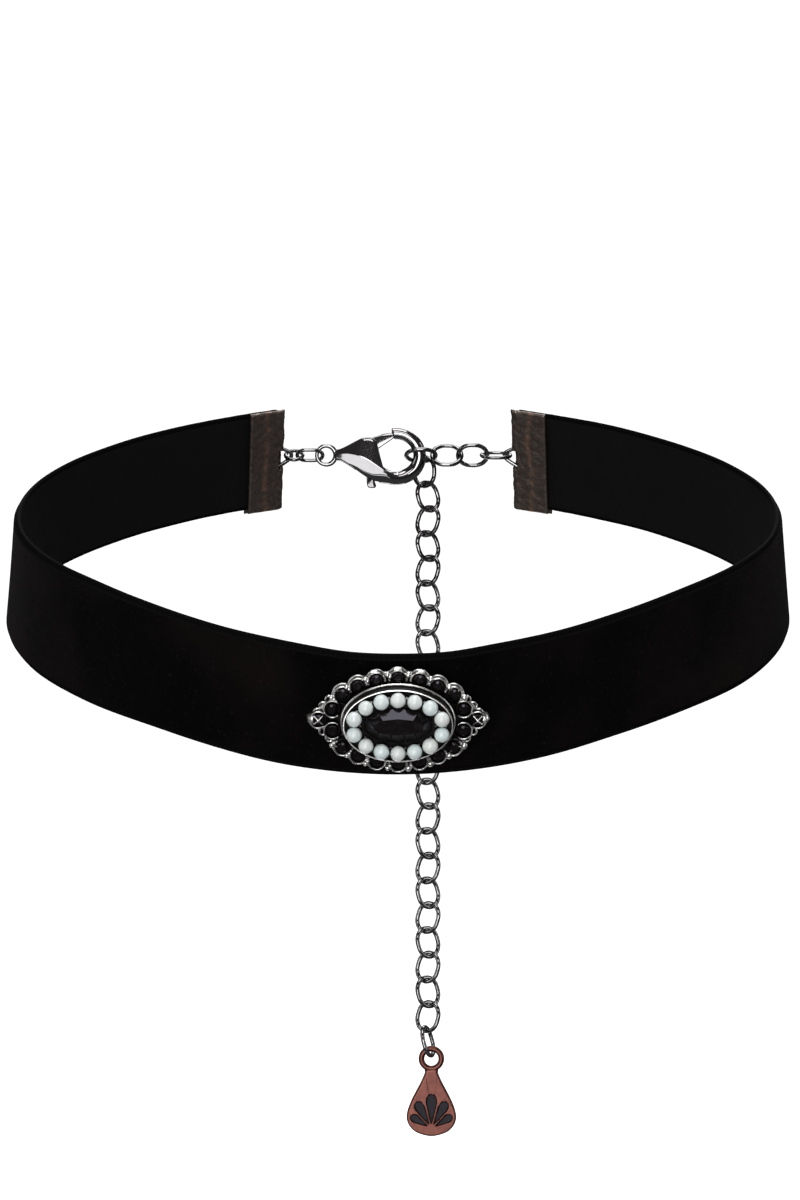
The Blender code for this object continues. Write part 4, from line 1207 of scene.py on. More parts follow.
def oval_path(length, width, wire):
    """Middle line of an oval link, long along Z, with a hairline seam in one side."""
    radius = (width - wire) / 2
    run = (length - width) / 2
    arc = np.linspace(0.0, math.pi, LINK_POINTS // 2)
    top = np.column_stack([radius * np.cos(arc), np.zeros(len(arc)), run + radius * np.sin(arc)])
    reach = max(run, 0.0) + SEAM
    start = [(radius, 0.0, z) for z in np.linspace(SEAM / 2, reach, 3)[:-1]]
    end = [(radius, 0.0, z) for z in np.linspace(-reach, -SEAM / 2, 3)[1:]]
    return np.vstack([start, top, -top, end])


def add_link(build, length, width, wire, seed, matrix=None):
    """Add one bent wire link, its seam closed but for a hairline."""
    path = oval_path(length, width, wire)
    lumps = 1 + 0.03 * grain(path, 700.0, seed)
    shine = np.repeat(0.55 + 0.35 * grain(path, 500.0, seed + 2), WIRE_SIDES)
    link = Build()
    link.tube(path, wire / 2 * lumps, WIRE_SIDES, shine, closed=False)
    ends = np.insert(link.points(), 3, 1.0, axis=1)
    build.add((ends @ np.array(matrix or Matrix.Identity(4)).T)[:, :3], link.faces, shine)


class CHOKER_OT_rings(ChokerPiece, bpy.types.Operator):
    """Make the two rings and the oval link of the closure."""

    bl_idname = "choker.rings"
    bl_label = "Rings"

    def execute(self, context):
        nickel = self.metal(context, "black_nickel")
        for name, length, width, roll in RINGS:
            low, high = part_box(name)
            matrix = link_frame((low + high) / 2, (1.0, 0.0, 0.0), roll)
            build = Build()
            add_link(build, length, width, RING_WIRE, length / MM)
            place(name + "_wire", build.mesh(name), nickel, [name], "gunmetal", matrix)
        return {"FINISHED"}


class CHOKER_OT_chain(ChokerPiece, bpy.types.Operator):
    """Make the extension chain, link by link."""

    bl_idname = "choker.chain"
    bl_label = "Extension Chain"

    def execute(self, context):
        nickel = self.metal(context, "black_nickel")
        build = Build()
        for index, matrix in enumerate(chain_places()[0]):
            add_link(build, LINK_LENGTH, LINK_WIDTH, LINK_WIRE, index * 1.7, matrix)
        mesh = build.mesh("extension_links")
        place("extension_links", mesh, nickel, ["extension_chain"], "gunmetal")
        return {"FINISHED"}


# Clasp's two edges from its neck to the hook, as pairs: lower or outer edge, upper or inner edge,
# as shares of the hook's distance from the pivot
CLASP_BODY_EDGES = (
    ((-1.36, -0.22), (-1.36, 0.22)),
    ((-1.15, -0.25), (-1.15, 0.27)),
    ((-0.90, -0.38), (-0.88, 0.40)),
    ((-0.62, -0.57), (-0.58, 0.56)),
    ((-0.34, -0.78), (-0.30, 0.69)),
    ((-0.05, -0.97), (-0.02, 0.73)),
    ((0.22, -1.08), (0.20, 0.60)),
)
# Hook from the belly round to its tip: angle of the outer edge and of the inner edge in degrees,
# and thickness as a share of the clasp's
HOOK_ANGLES = (
    *((-107, 161, 1.00), (-98, 184, 0.98), (-89, 207, 0.92), (-79, 232, 0.84), (-68, 256, 0.75)),
    *((-52, 284, 0.66), (-32, 318, 0.60), (-10, 350, 0.57), (14, 375, 0.55), (38, 399, 0.54)),
    *((62, 422, 0.53), (82, 440, 0.52), (96, 452, 0.50)),
)
CLASP_BODY_THICKNESS = (0.46, 0.56, 0.72, 0.87, 0.97, 1.00, 1.00)
# Flat facet on the belly, at each pair of edges: its lower and upper side as shares of the way from
# the outer to the inner edge, depth at its lower side and at the inner edge as shares of the full
# depth, and how round the section is above it
CLASP_FACET = (
    (0.30, 0.50, 0.99, 0.84, 1.0),
    (0.17, 0.57, 0.95, 0.90, 0.4),
    (0.10, 0.56, 0.89, 0.86, 0.0),
    (0.13, 0.51, 0.87, 0.82, 0.0),
    (0.14, 0.48, 0.865, 0.80, 0.0),
    (0.17, 0.44, 0.88, 0.78, 0.0),
    (0.22, 0.41, 0.91, 0.78, 0.0),
    (0.31, 0.40, 0.963, 0.78, 0.1),
    (0.37, 0.41, 0.98, 0.78, 0.4),
    (0.42, 0.44, 1.00, 0.75, 0.8),
) + ((0.48, 0.52, 1.00, 0.80, 1.0),) * 10

# Angles of the gate's end, in degrees, and rounding of the lever's edges
GATE_TOP = (49, 37)
LEVER_ROUNDING = 0.00018
# Left and right side of the boss, as shares of its radius
LEVER_SIDES = (((-0.90, 0.8), (-1, 0), (-0.85, -0.9)), ((0.85, -0.9), (1, 0), (1.15, 0.9)))
# Thumb tab: across as shares of the boss, down as shares of the tail
LEVER_TAB = ((-0.60, 0.60), (-0.45, 0.93), (0.15, 1.0), (0.85, 0.95), (0.62, 0.70))
# How fast the gate thins towards its upper side, per metre, and over what height
GATE_TILT = 305.0
GATE_TILTED_HEIGHT = 0.0017
# Small stud on each side of the clasp: place, radius, height as a share of half the thickness, dome
CLASP_STUD = (0.00465, -0.0032, 0.00028, 0.93, 0.00003)
# Steps along the clasp's edges, and where the rounding of its inner edge starts
CLASP_STEPS = 120
EDGE_TURN = 0.92


def clasp_rails():
    """The clasp's two edges, thickness and facet, at even steps from the neck to the hook's tip."""
    outer, inner = (
        [(edges[side][0] * HOOK_AT, edges[side][1] * HOOK_AT) for edges in CLASP_BODY_EDGES]
        for side in (0, 1)
    )
    for out, within, _ in HOOK_ANGLES:
        a, b = math.radians(out), math.radians(within)
        x = HOOK_AT + HOOK_HALF_LENGTH * math.cos(a)
        outer.append((x, HOOK_DROP + HOOK_HALF_HEIGHT * math.sin(a)))
        inner.append((HOOK_AT + HOOK_INNER_LENGTH * math.cos(b), HOOK_INNER_HEIGHT * math.sin(b)))
    thick = [[share] for share in CLASP_BODY_THICKNESS] + [[share] for _, _, share in HOOK_ANGLES]
    rails = [through(points, CLASP_STEPS) for points in (outer, inner, thick, CLASP_FACET)]
    rails[2] = rails[2][:, 0] * CLASP_THICKNESS / 2
    return rails


def clasp_section(facet):
    """Across and deep shares of half the clasp's section, from its outer edge to its inner edge."""
    low, high, low_depth, edge_depth, roundness = facet
    high = max(high, low + 0.012)
    points = []
    for angle in np.radians(np.linspace(0, 84, 10)):
        points.append((low * (1 - math.cos(angle)), low_depth * math.sin(angle)))
    for share in (0.01, 0.05, 0.5, 0.95, 0.99):
        points.append((lerp(low, high, share), lerp(low_depth, 1.0, share)))
    above = [
        (share, lerp(1.0, edge_depth, share / EDGE_TURN))
        for share in (0.01, 0.04, 0.18, 0.34, 0.50, 0.66, 0.80, EDGE_TURN)
    ]
    above += [
        (EDGE_TURN + (1 - EDGE_TURN) * math.sin(angle), edge_depth * math.cos(angle))
        for angle in np.radians((20, 40, 58, 74, 90))
    ]
    for share, slope in above:
        dome = math.sqrt(max(0.0, 1 - share**2))
        points.append((lerp(high, 1.0, share), lerp(slope, dome, roundness)))
    return np.array(points)


def clasp_body_build():
    """The clasp's body as one smooth skin over its two edges."""
    rows = []
    for first, second, half_depth, facet in zip(*clasp_rails()):
        section = clasp_section(facet)
        loop = np.concatenate([section * (1, -1), section[-2:0:-1]])
        xz = first + (second - first) * loop[:, :1]
        rows.append(np.column_stack([xz[:, 0], half_depth * loop[:, 1], xz[:, 1]]))
    for end, inwards in ((0, rows[1]), (-1, rows[-2])):
        centre = rows[end].mean(axis=0)
        outwards = centre - inwards.mean(axis=0)
        outwards /= np.linalg.norm(outwards)
        domes = [
            centre + (rows[end] - centre) * math.cos(angle) + outwards * 0.0003 * math.sin(angle)
            for angle in np.radians((25, 50, 75))
        ]
        rows = rows + domes if end else domes[::-1] + rows
    build = Build()
    build.capped(rows, 0.62)
    return build


def pin_rings(radius, count, reach):
    """The two ends of a pin along Y on the lever's pivot."""
    return [ring((0.0, 0.0), radius, count, depth, upright=True) for depth in (-reach, reach)]


class CHOKER_OT_clasp(ChokerPiece, bpy.types.Operator):
    """Make the lobster clasp's body with its eye, slot and pin."""

    bl_idname = "choker.clasp"
    bl_label = "Clasp"

    def execute(self, context):
        nickel = self.metal(context, "black_nickel")
        left = -LEVER_BOSS - FIT_GAP
        top = LEVER_REACH * 0.80
        slot = [
            *((left * 0.65, top), (left, LEVER_BOSS), (left, -LEVER_BOSS * 0.6)),
            (left - LEVER_TAIL * 0.24, -LEVER_TAIL * 0.52),
            (left - LEVER_TAIL * 0.30, -LEVER_TAIL * 1.1),
            *((-left, -LEVER_TAIL * 1.1), (-left, left)),
            *((HOOK_AT * 0.55, left), (HOOK_AT * 0.55, top)),
        ]
        tool = prism(slot, LEVER_THICKNESS / 2 + FIT_GAP / 2).mesh("clasp_slot")
        body = cut(clasp_body_build().mesh("clasp_skin", math.radians(60)), tool, "clasp")
        tidy_mesh(body, math.radians(35))
        trim = Build()
        eye = ring((CLASP_EYE_AT, 0.0), CLASP_EYE_RADIUS, 48, 0.0, upright=True)
        swollen = CLASP_EYE_WIRE / 2 * (1 + 0.12 * np.cos(full_turn(48)))
        trim.tube(eye, swollen, 16, 0.68, flat=1.05)
        x, z, size, share, dome = CLASP_STUD
        for side in (-1, 1):
            head = side * CLASP_THICKNESS / 2
            stud = [(size, head * 0.5)] + [
                (size * math.cos(angle), head * share + side * dome * math.sin(angle))
                for angle in np.radians((0, 30, 60, 88))
            ]
            rows = [ring((x, z), radius, 20, depth, upright=True) for radius, depth in stud]
            trim.capped(rows, 0.8)
        reach = LEVER_THICKNESS / 2 + FIT_GAP + 0.0003
        trim.capped(pin_rings(PIVOT_RADIUS, 16, reach), 0.4)
        matrix = Matrix.Translation(PIVOT)
        place("clasp_shell", body, nickel, ["clasp_body"], "gunmetal", matrix)
        place("clasp_eye", trim.mesh("clasp_eye"), nickel, [], "gunmetal", matrix)
        return {"FINISHED"}


class CHOKER_OT_lever(ChokerPiece, bpy.types.Operator):
    """Make the clasp's lever: gate, boss and thumb tab."""

    bl_idname = "choker.lever"
    bl_label = "Clasp Lever"

    def execute(self, context):
        nickel = self.metal(context, "black_nickel")
        top, low = np.radians(GATE_TOP)
        gate = [(math.cos(low), math.sin(low)), (math.cos(top), math.sin(top)), (0.20, 0.64)]
        outline = [(x * LEVER_REACH, z * LEVER_REACH) for x, z in gate]
        outline.append((-LEVER_BOSS * 0.2, LEVER_REACH * 0.50))
        left, right = (np.array(side) * LEVER_BOSS for side in LEVER_SIDES)
        tab = [(x * LEVER_BOSS, -z * LEVER_TAIL) for x, z in LEVER_TAB]
        outline = np.concatenate([outline, left, tab, right])
        smooth = through(outline, 120, closed=True)
        lever = prism(smooth, LEVER_THICKNESS / 2, LEVER_ROUNDING, 0.60)
        lever = lever.mesh("clasp_gate", math.radians(50))
        for corner in lever.vertices:
            above = corner.co.z * math.cos(low) - corner.co.x * math.sin(low)
            if corner.co.z > LEVER_BOSS:
                corner.co.y *= 1 - GATE_TILT * min(max(above, 0.0), GATE_TILTED_HEIGHT)
        tool = Build()
        tool.capped(pin_rings(PIVOT_RADIUS + FIT_GAP / 2, 24, 0.001), 0.3)
        lever = cut(lever, tool.mesh("pin_hole"), "lever")
        matrix = Matrix.Translation(PIVOT)
        place("clasp_gate", lever, nickel, ["clasp_lever"], "gunmetal", matrix, "lever")
        return {"FINISHED"}


# Drop's outline below its neck: distance down and width, as shares of its length and its widest
DROP_OUTLINE = (
    *((0.00, 0.25), (0.14, 0.40), (0.30, 0.62), (0.46, 0.83), (0.62, 0.98)),
    *((0.74, 1.00), (0.86, 0.86), (0.95, 0.56), (1.00, 0.0)),
)
# Points round the drop, its middle as a share of the way down, how far its edge is rounded, and
# place and width of its bright rim
DROP_POINTS = 260
DROP_MIDDLE = 0.66
DROP_ROUNDING = 0.00035
DROP_RIM = (0.0002, 0.00022)
# Petals sunk in the drop: lean in degrees, and length and width as shares of the drop's
PETALS = ((-58, 0.31, 0.17), (-29, 0.41, 0.20), (0, 0.47, 0.22), (29, 0.41, 0.20), (58, 0.31, 0.17))
# Where the petals meet, as a share of the way down, and how far from there they start
PETALS_FROM = 0.88
PETAL_START = 0.07
# A petal's share of its length against its share of its width
PETAL_EDGE = ((0.0, 0.25, 0.50, 0.72, 0.86, 0.95, 1.0), (0.0, 0.42, 0.74, 1.0, 0.92, 0.60, 0.0))


def petal_depth(x, z, foot):
    """How deep the petals lie at places on the drop's face, from 0 to 1."""
    deep = np.zeros_like(x)
    for lean, length, width in PETALS:
        angle = math.radians(lean)
        along = (x * math.sin(angle) + (z - foot) * math.cos(angle)) / CHARM_DROP_LENGTH
        across = np.abs(x * math.cos(angle) - (z - foot) * math.sin(angle))
        share = (along - PETAL_START) / length
        reach = np.interp(share, *PETAL_EDGE, left=-1.0, right=-1.0) * CHARM_WIDTH * width / 2
        deep = np.maximum(deep, smooth_step(reach - across, -0.00005, 0.00012))
    return deep


class CHOKER_OT_drop(ChokerPiece, bpy.types.Operator):
    """Make the copper drop: eye, neck and teardrop with sunk petals."""

    bl_idname = "choker.drop"
    bl_label = "Copper Drop"

    def execute(self, context):
        copper = self.metal(context, "antique_copper")
        neck = -CHARM_EYE_RADIUS - CHARM_EYE_WIRE / 2
        widest = CHARM_WIDTH / 2
        right = [(widest * half, neck - CHARM_DROP_LENGTH * down) for down, half in DROP_OUTLINE]
        left = [(-x, z) for x, z in reversed(right[:-1])]
        throat = neck + CHARM_EYE_WIRE * 0.45
        top = [(-CHARM_NECK_WIDTH / 2, throat), (CHARM_NECK_WIDTH / 2, throat)]
        outline = through(right + left + top, DROP_POINTS, closed=True)
        centre = np.array((0.0, neck - CHARM_DROP_LENGTH * DROP_MIDDLE))
        foot = neck - CHARM_DROP_LENGTH * PETALS_FROM
        shares = np.concatenate([np.linspace(0.0, 0.88, 40), np.linspace(0.90, 1.0, 9)])
        rows, shine = [], []
        for side in (-1, 1):
            for share in shares[1:] if side < 0 else shares[:0:-1]:
                xz = centre + (outline - centre) * share
                to_edge = np.linalg.norm(xz[:, None] - outline[None], axis=2).min(axis=1)
                fullness = np.sqrt(1 - (1 - np.clip(to_edge / DROP_ROUNDING, 0.0, 1.0)) ** 2)
                deep = petal_depth(xz[:, 0], xz[:, 1], foot) if side < 0 else np.zeros(len(xz))
                depth = CHARM_THICKNESS / 2 * (0.45 + 0.55 * fullness) - deep * CHARM_RELIEF
                rows.append(np.column_stack([xz[:, 0], side * depth, xz[:, 1]]))
                rim = np.exp(-(((to_edge - DROP_RIM[0]) / DROP_RIM[1]) ** 2))
                shine.append(0.72 + 0.2 * rim - 0.85 * deep)
        build = Build()
        build.capped(rows, np.array(shine))
        eye = ring((0.0, 0.0), CHARM_EYE_RADIUS, 56, 0.0, upright=True)
        build.tube(eye, CHARM_EYE_WIRE / 2, 16, 0.78)
        matrix = Matrix.Translation(charm_place())
        place("drop", build.mesh("drop"), copper, ["charm"], "antique_copper", matrix)
        return {"FINISHED"}


def lens_outline(length, height, corners):
    """A pointed oval of two arcs, in X and Y."""
    half_length, half_height = length / 2, height / 2
    radius = (half_length**2 + half_height**2) / (2 * half_height)
    sweep = math.asin(half_length / radius)
    angles = sweep * (2 * np.arange(corners) / corners - 1)
    y = radius * np.cos(angles) - radius + half_height
    arc = np.column_stack([radius * np.sin(angles), y])
    return np.concatenate([arc, -arc])


BEZEL_SIDES = 112


def oval_ring(inset, height):
    """Corners round the bezel, set in by a distance from its wall's outer side."""
    radii = np.array((BEZEL_HALF_HEIGHT * BEZEL_RATIO, BEZEL_HALF_HEIGHT))
    corners = ring((0.0, 0.0), radii, BEZEL_SIDES, height)
    corners[:, :2] -= unit(corners[:, :2] / radii**2) * inset
    return corners


# Bezel's section from its foot up its outside and down its inside: inset and height in millimetres,
# and shine
BEZEL_SECTION = (
    *((0.42, 0.50, 0.03), (0.42, 2.74, 0.05), (0.05, 2.80, 0.06), (-0.20, 2.86, 0.10)),
    *((-0.29, 2.94, 0.55), (-0.31, 3.04, 1.00), (-0.24, 3.14, 0.95), (-0.13, 3.18, 0.15)),
    *((0.05, 3.20, 0.03), (0.07, 4.70, 0.05), (0.03, 4.84, 0.12), (0.02, 4.93, 0.80)),
    *((0.08, 5.02, 1.00), (0.17, 5.03, 0.95), (0.24, 4.96, 0.30), (0.27, 4.86, 0.05)),
    *((0.30, 4.20, 0.03), (2.30, 4.15, 0.02)),
)
# Plate's section from its back to its middle: inset, height and shine in the same way
PLATE_SECTION = (
    *((0.0, 0.0, 0.05), (0.0, 0.55, 0.30), (0.05, 0.80, 0.75)),
    *((0.25, 0.98, 0.45), (0.7, 1.00, 0.05), (3.0, 1.00, 0.02)),
)
# Cup: corners round it, inner and outer radius, and its section as radius, height in millimetres
# and shine
CUP_SIDES = 28
CUP_INNER = STONE_RADIUS + SEAT_GAP
CUP_OUTER = CUP_INNER + CUP_WALL
CUP_SECTION = (
    *((CUP_OUTER, 0.3, 0.05), (CUP_OUTER * 0.97, 1.45, 0.08), (CUP_OUTER, 1.90, 0.35)),
    *((CUP_OUTER * 0.97, 2.06, 0.9), (CUP_INNER + CUP_WALL * 0.4, 2.12, 1.0)),
    *((CUP_INNER, 2.00, 0.4), (CUP_INNER, 1.35, 0.0)),
)
# Arches over a cup's edge and below it: how much wider, angle to each side, points, height in
# millimetres, wire, sides of the wire, shine and lumpiness
ARCH_SPREAD = math.radians(104)
ARCHES = (
    (0.0, ARCH_SPREAD, 22, 2.14, 0.00014, 8, 0.95, 0.25),
    (0.0002, ARCH_SPREAD * 0.8, 18, 1.35, 0.00012, 6, 0.55, 0.0),
)
# Beyond this share of the plate's length the cups are duller, by this factor
DULL_FROM = 0.36
DULL_CUP = 0.35
# Foot of a small bead beside the bead itself
BEAD_FOOT = (0.00034, 0.00030, 0.0001)
# How much the end nuggets are stretched
NUGGET_STRETCH = (1.05, 1.40, 1.1)
# Flat blocks: depth to each side, rounding, and how far out from the arch they stand
BLOCK_DEPTH = 0.00024
BLOCK_ROUNDING = 0.00008
BLOCK_OUT = 0.00028
# Trim of the rim: corners and heights in millimetres, wires in metres
BLOCK_CORNERS = ((-0.58, -0.30), (0.58, -0.30), (0.46, 0.16), (-0.46, 0.16))
BLOCK_HEIGHT = 2.0
SIDE_RIM_HEIGHT = 2.2
SIDE_RIM_WIRE = 0.00011
PRONG_HEIGHTS = (2.30, 2.62, 2.30)
PRONG_WIRE = 0.00009
LEAF_HEIGHT = 1.5
LEAF_RADIUS = 0.00052
LEAF_WIRE = 0.00015
# Leaves towards each tip, as shares of the plate's half length, and the angle they face
TIP_LEAVES = (0.72, 0.80, 0.875, 0.94)
LEAF_FACING = math.atan2(0.8, 0.65)
# Grips between the pearls: height over the floor; how far out as a share, size and shine
GRIP_HEIGHT = 0.0007
GRIPS = ((1.115, 0.00021, 0.55), (0.885, 0.00016, 0.35))


def arc_path(centre, radius, start, end, count, height):
    """Points of an arc, at a height in millimetres."""
    angles = np.linspace(start, end, count)
    x = centre[0] + radius * np.cos(angles)
    y = centre[1] + radius * np.sin(angles)
    return np.column_stack([x, y, np.full(count, height * MM)])


def flat_tube(build, path, radius, sides, shine, normal=(0.0, 0.0, 1.0)):
    """Add an open wire that lies flat."""
    build.tube(path, radius, sides, shine, normal=normal, closed=False)


class CHOKER_OT_setting(ChokerPiece, bpy.types.Operator):
    """Make the cast setting: plate, cups with arches, beads, nuggets and the raised bezel."""

    bl_idname = "choker.setting"
    bl_label = "Ornament Setting"

    def execute(self, context):
        silver = self.metal(context, "antique_silver")
        build = Build()
        self.add_plate(build)
        rims = [(x, y - RIM_SINK * (y > 0), outward) for x, y, outward in rim_cups()]
        for x, y, outward in rims + side_cups():
            self.add_cup(build, x, y, outward)
        for index, (x, y, outward) in enumerate(rims):
            self.add_arch(build, x, y, outward, index)
        for x, y, outward in side_cups():
            self.add_side_rims(build, x, y, outward)
        self.add_beads(build)
        self.add_tips(build)
        self.add_bezel(build)
        mesh = build.mesh("ornament_cast", math.radians(45))
        nodes, seat = ["ornament_setting"], ornament_frame()
        place("ornament_cast", mesh, silver, nodes, "antique_silver", seat)
        return {"FINISHED"}

    def add_plate(self, build):
        """The pointed plate with a rounded upper edge."""
        rows = []
        for inset, height, _ in PLATE_SECTION:
            inset *= MM
            outline = lens_outline(PLATE_LENGTH - 2.6 * inset, PLATE_HEIGHT - 2 * inset, 60)
            rows.append(np.insert(outline, 2, height * MM, axis=1))
        build.capped(rows, np.repeat([value for _, _, value in PLATE_SECTION], len(rows[0])))

    def add_cup(self, build, x, y, outward):
        """A cup round one black stone, brighter on its outer side."""
        rows = [ring((x, y), radius, CUP_SIDES, height * MM) for radius, height, _ in CUP_SECTION]
        facing = 0.15 + 0.75 * smooth_step(np.cos(full_turn(CUP_SIDES) - outward), -0.2, 0.7)
        facing *= 1.0 if abs(x) < PLATE_LENGTH * DULL_FROM else DULL_CUP
        build.capped(rows, np.array([value * facing for _, _, value in CUP_SECTION]))

    def add_arch(self, build, x, y, outward, index):
        """Two arches on the outer side of a rim cup, and a flat block on the middle ones."""
        radius = CUP_INNER + CUP_WALL * 0.55
        for wider, spread, count, height, wire, sides, value, lumpiness in ARCHES:
            start, end = outward - spread, outward + spread
            path = arc_path((x, y), radius + wider, start, end, count, height)
            lumps = 1 + lumpiness * grain(path, 1300.0, index)
            flat_tube(build, path, wire * lumps, sides, value)
        if y > 0 and abs(x) < PLATE_LENGTH * 0.15:
            shape = prism(np.array(BLOCK_CORNERS) * MM, BLOCK_DEPTH, BLOCK_ROUNDING)
            across, deep, high = shape.points().T
            high = high + radius + BLOCK_OUT
            up = (math.cos(outward), math.sin(outward))
            placed = [
                x + high * up[0] + across * up[1],
                y + high * up[1] - across * up[0],
                BLOCK_HEIGHT * MM - deep,
            ]
            build.add(np.column_stack(placed), shape.faces, 0.78)

    def add_side_rims(self, build, x, y, outward):
        """Thin C-shaped rims round the side stones, and crossed prongs over the end ones."""
        spread = math.radians(130)
        start, end = outward - spread, outward + spread
        path = arc_path((x, y), CUP_INNER + 0.00012, start, end, 26, SIDE_RIM_HEIGHT)
        flat_tube(build, path, SIDE_RIM_WIRE, 8, 1.0)
        for lean in () if y else (45, 135):
            side = np.array((math.cos(math.radians(lean)), math.sin(math.radians(lean)), 0.0))
            reach = side * STONE_RADIUS * 0.98
            ends = np.array([(x, y, height * MM) for height in PRONG_HEIGHTS])
            ends += (-reach, 0 * reach, reach)
            flat_tube(build, through(ends, 14), PRONG_WIRE, 8, 0.9, (-side[1], side[0], 0.0))

    def add_beads(self, build):
        """Small beads beside the rim's cups."""
        reach = CUP_OUTER + BEAD_RADIUS * 0.6
        height = CUP_HEIGHT + BEAD_RADIUS * 0.25
        for share in RIM_CUPS:
            across = share * PLATE_LENGTH / 2
            angle = BEAD_LEAN - math.asin(across / RIM_RADIUS)
            for sign in (1, -1):
                for up in (1, -1):
                    x = sign * (across + reach * math.cos(angle))
                    y = up * (rim_height(across) + reach * math.sin(angle)) - RIM_SINK * (up > 0)
                    size = BEAD_RADIUS * (1.05 if sign > 0 else 0.80)
                    build.ball((x, y, height), size, 18, 12, 1.0)
                    if sign < 0:
                        aside, below, down = BEAD_FOOT
                        foot = (x + aside, y - up * below, height - down)
                        build.ball(foot, size * 0.85, 14, 10, 0.9)

    def add_tips(self, build):
        """Scalloped leaves and a rough nugget at each pointed end."""
        radius = (PLATE_LENGTH**2 + PLATE_HEIGHT**2) / (4 * PLATE_HEIGHT)
        start, end = LEAF_FACING - 1.5, LEAF_FACING + 1.2
        for sign in (1, -1):
            for up in (1, -1):
                for step, share in enumerate(TIP_LEAVES):
                    x = share * PLATE_LENGTH / 2
                    y = math.sqrt(radius**2 - x**2) - radius + PLATE_HEIGHT / 2 - 0.00015
                    path = arc_path((x, y), LEAF_RADIUS, start, end, 14, LEAF_HEIGHT)
                    path *= (sign, up, 1)
                    lumps = 1 + 0.3 * grain(path, 1700.0, step + sign + 2 * up)
                    flat_tube(build, path, LEAF_WIRE * lumps, 8, 0.9)
            nugget = Build()
            nugget.ball((0.0, 0.0, 0.0), NUGGET_RADIUS, 7, 5, 0.9)
            rough = 1 + 0.28 * grain(nugget.points() + 3 * sign * MM, 1500.0, 6.0)
            corners = nugget.points() * rough[:, None] * NUGGET_STRETCH
            out = PLATE_LENGTH / 2 + NUGGET_RADIUS * 0.1
            corners += (sign * out, 0.0, PLATE_THICKNESS * 1.45)
            build.add(corners, nugget.faces, 1.0)

    def add_bezel(self, build):
        """The raised oval bezel with its flange, and the floor that the pearls sit on."""
        rows = [oval_ring(inset * MM, height * MM) for inset, height, _ in BEZEL_SECTION]
        build.capped(rows, np.repeat([value for _, _, value in BEZEL_SECTION], len(rows[0])))
        spots = pearl_places()
        for first, second in zip(spots, spots[1:] + spots[:1]):
            for reach, size, value in GRIPS:
                x, y = ((a + b) / 2 * reach for a, b in zip(first, second))
                build.ball((x, y, PEARL_FLOOR + GRIP_HEIGHT), size, 10, 6, value)


# How much larger the pearls are drawn than in the solids, how much farther from the middle, and how
# much their sizes differ
PEARL_SWELL = 1.06
PEARL_SPREAD = 1.03
PEARL_VARIETY = 0.025


class CHOKER_OT_pearls(ChokerPiece, bpy.types.Operator):
    """Make the ring of pearls, each a little different."""

    bl_idname = "choker.pearls"
    bl_label = "Pearls"

    def execute(self, context):
        lustre = pearl_lustre(context.scene.choker_stones)
        middle = PEARL_FLOOR + SEAT_GAP + PEARL_RADIUS
        for index, (x, y) in enumerate(pearl_places()):
            size = PEARL_RADIUS * PEARL_SWELL * (1 + PEARL_VARIETY * math.sin(index * 2.3))
            build = Build()
            build.ball((0.0, 0.0, 0.0), size, 40, 24, 0.5 + 0.5 * math.sin(index * 2.9 + 0.6))
            name = f"pearl_{index + 1:02d}"
            spot = Matrix.Translation((x * PEARL_SPREAD, y * PEARL_SPREAD, middle))
            turned = ornament_frame() @ spot @ Matrix.Rotation(index * 1.3, 4, "X")
            place(name + "_bead", build.mesh("pearl"), lustre, [name], "pearl", turned)
        return {"FINISHED"}


# Small stones: crown, girdle and pavilion as shares of the radius, facets, and the rings from the
# table to the girdle. The bottom's width is a share of the stone's
SMALL_STONE = (0.42, 0.12, 0.65)
SMALL_FACETS = 10
SMALL_STEPS = ((0.52, 0.52, 1.0), (0.80, 0.80, 0.62), (1.0, 1.0, 0.0))
STONE_BOTTOM = 0.3


def cut_stone(radii, crown, girdle, pavilion, facets, steps):
    """A faceted stone of stepped rings: each ring's length, width and height as shares."""
    levels = [(long, wide, crown * high) for long, wide, high in steps]
    levels += [(1.0, 1.0, -girdle), (STONE_BOTTOM, STONE_BOTTOM, -pavilion)]
    rows = [
        ring((0.0, 0.0), (radii[0] * long, radii[1] * wide), facets, height, start=math.pi / 2)
        for long, wide, height in levels
    ]
    build = Build()
    build.capped(rows, 0.5)
    return build.mesh("cut_stone", math.radians(2))


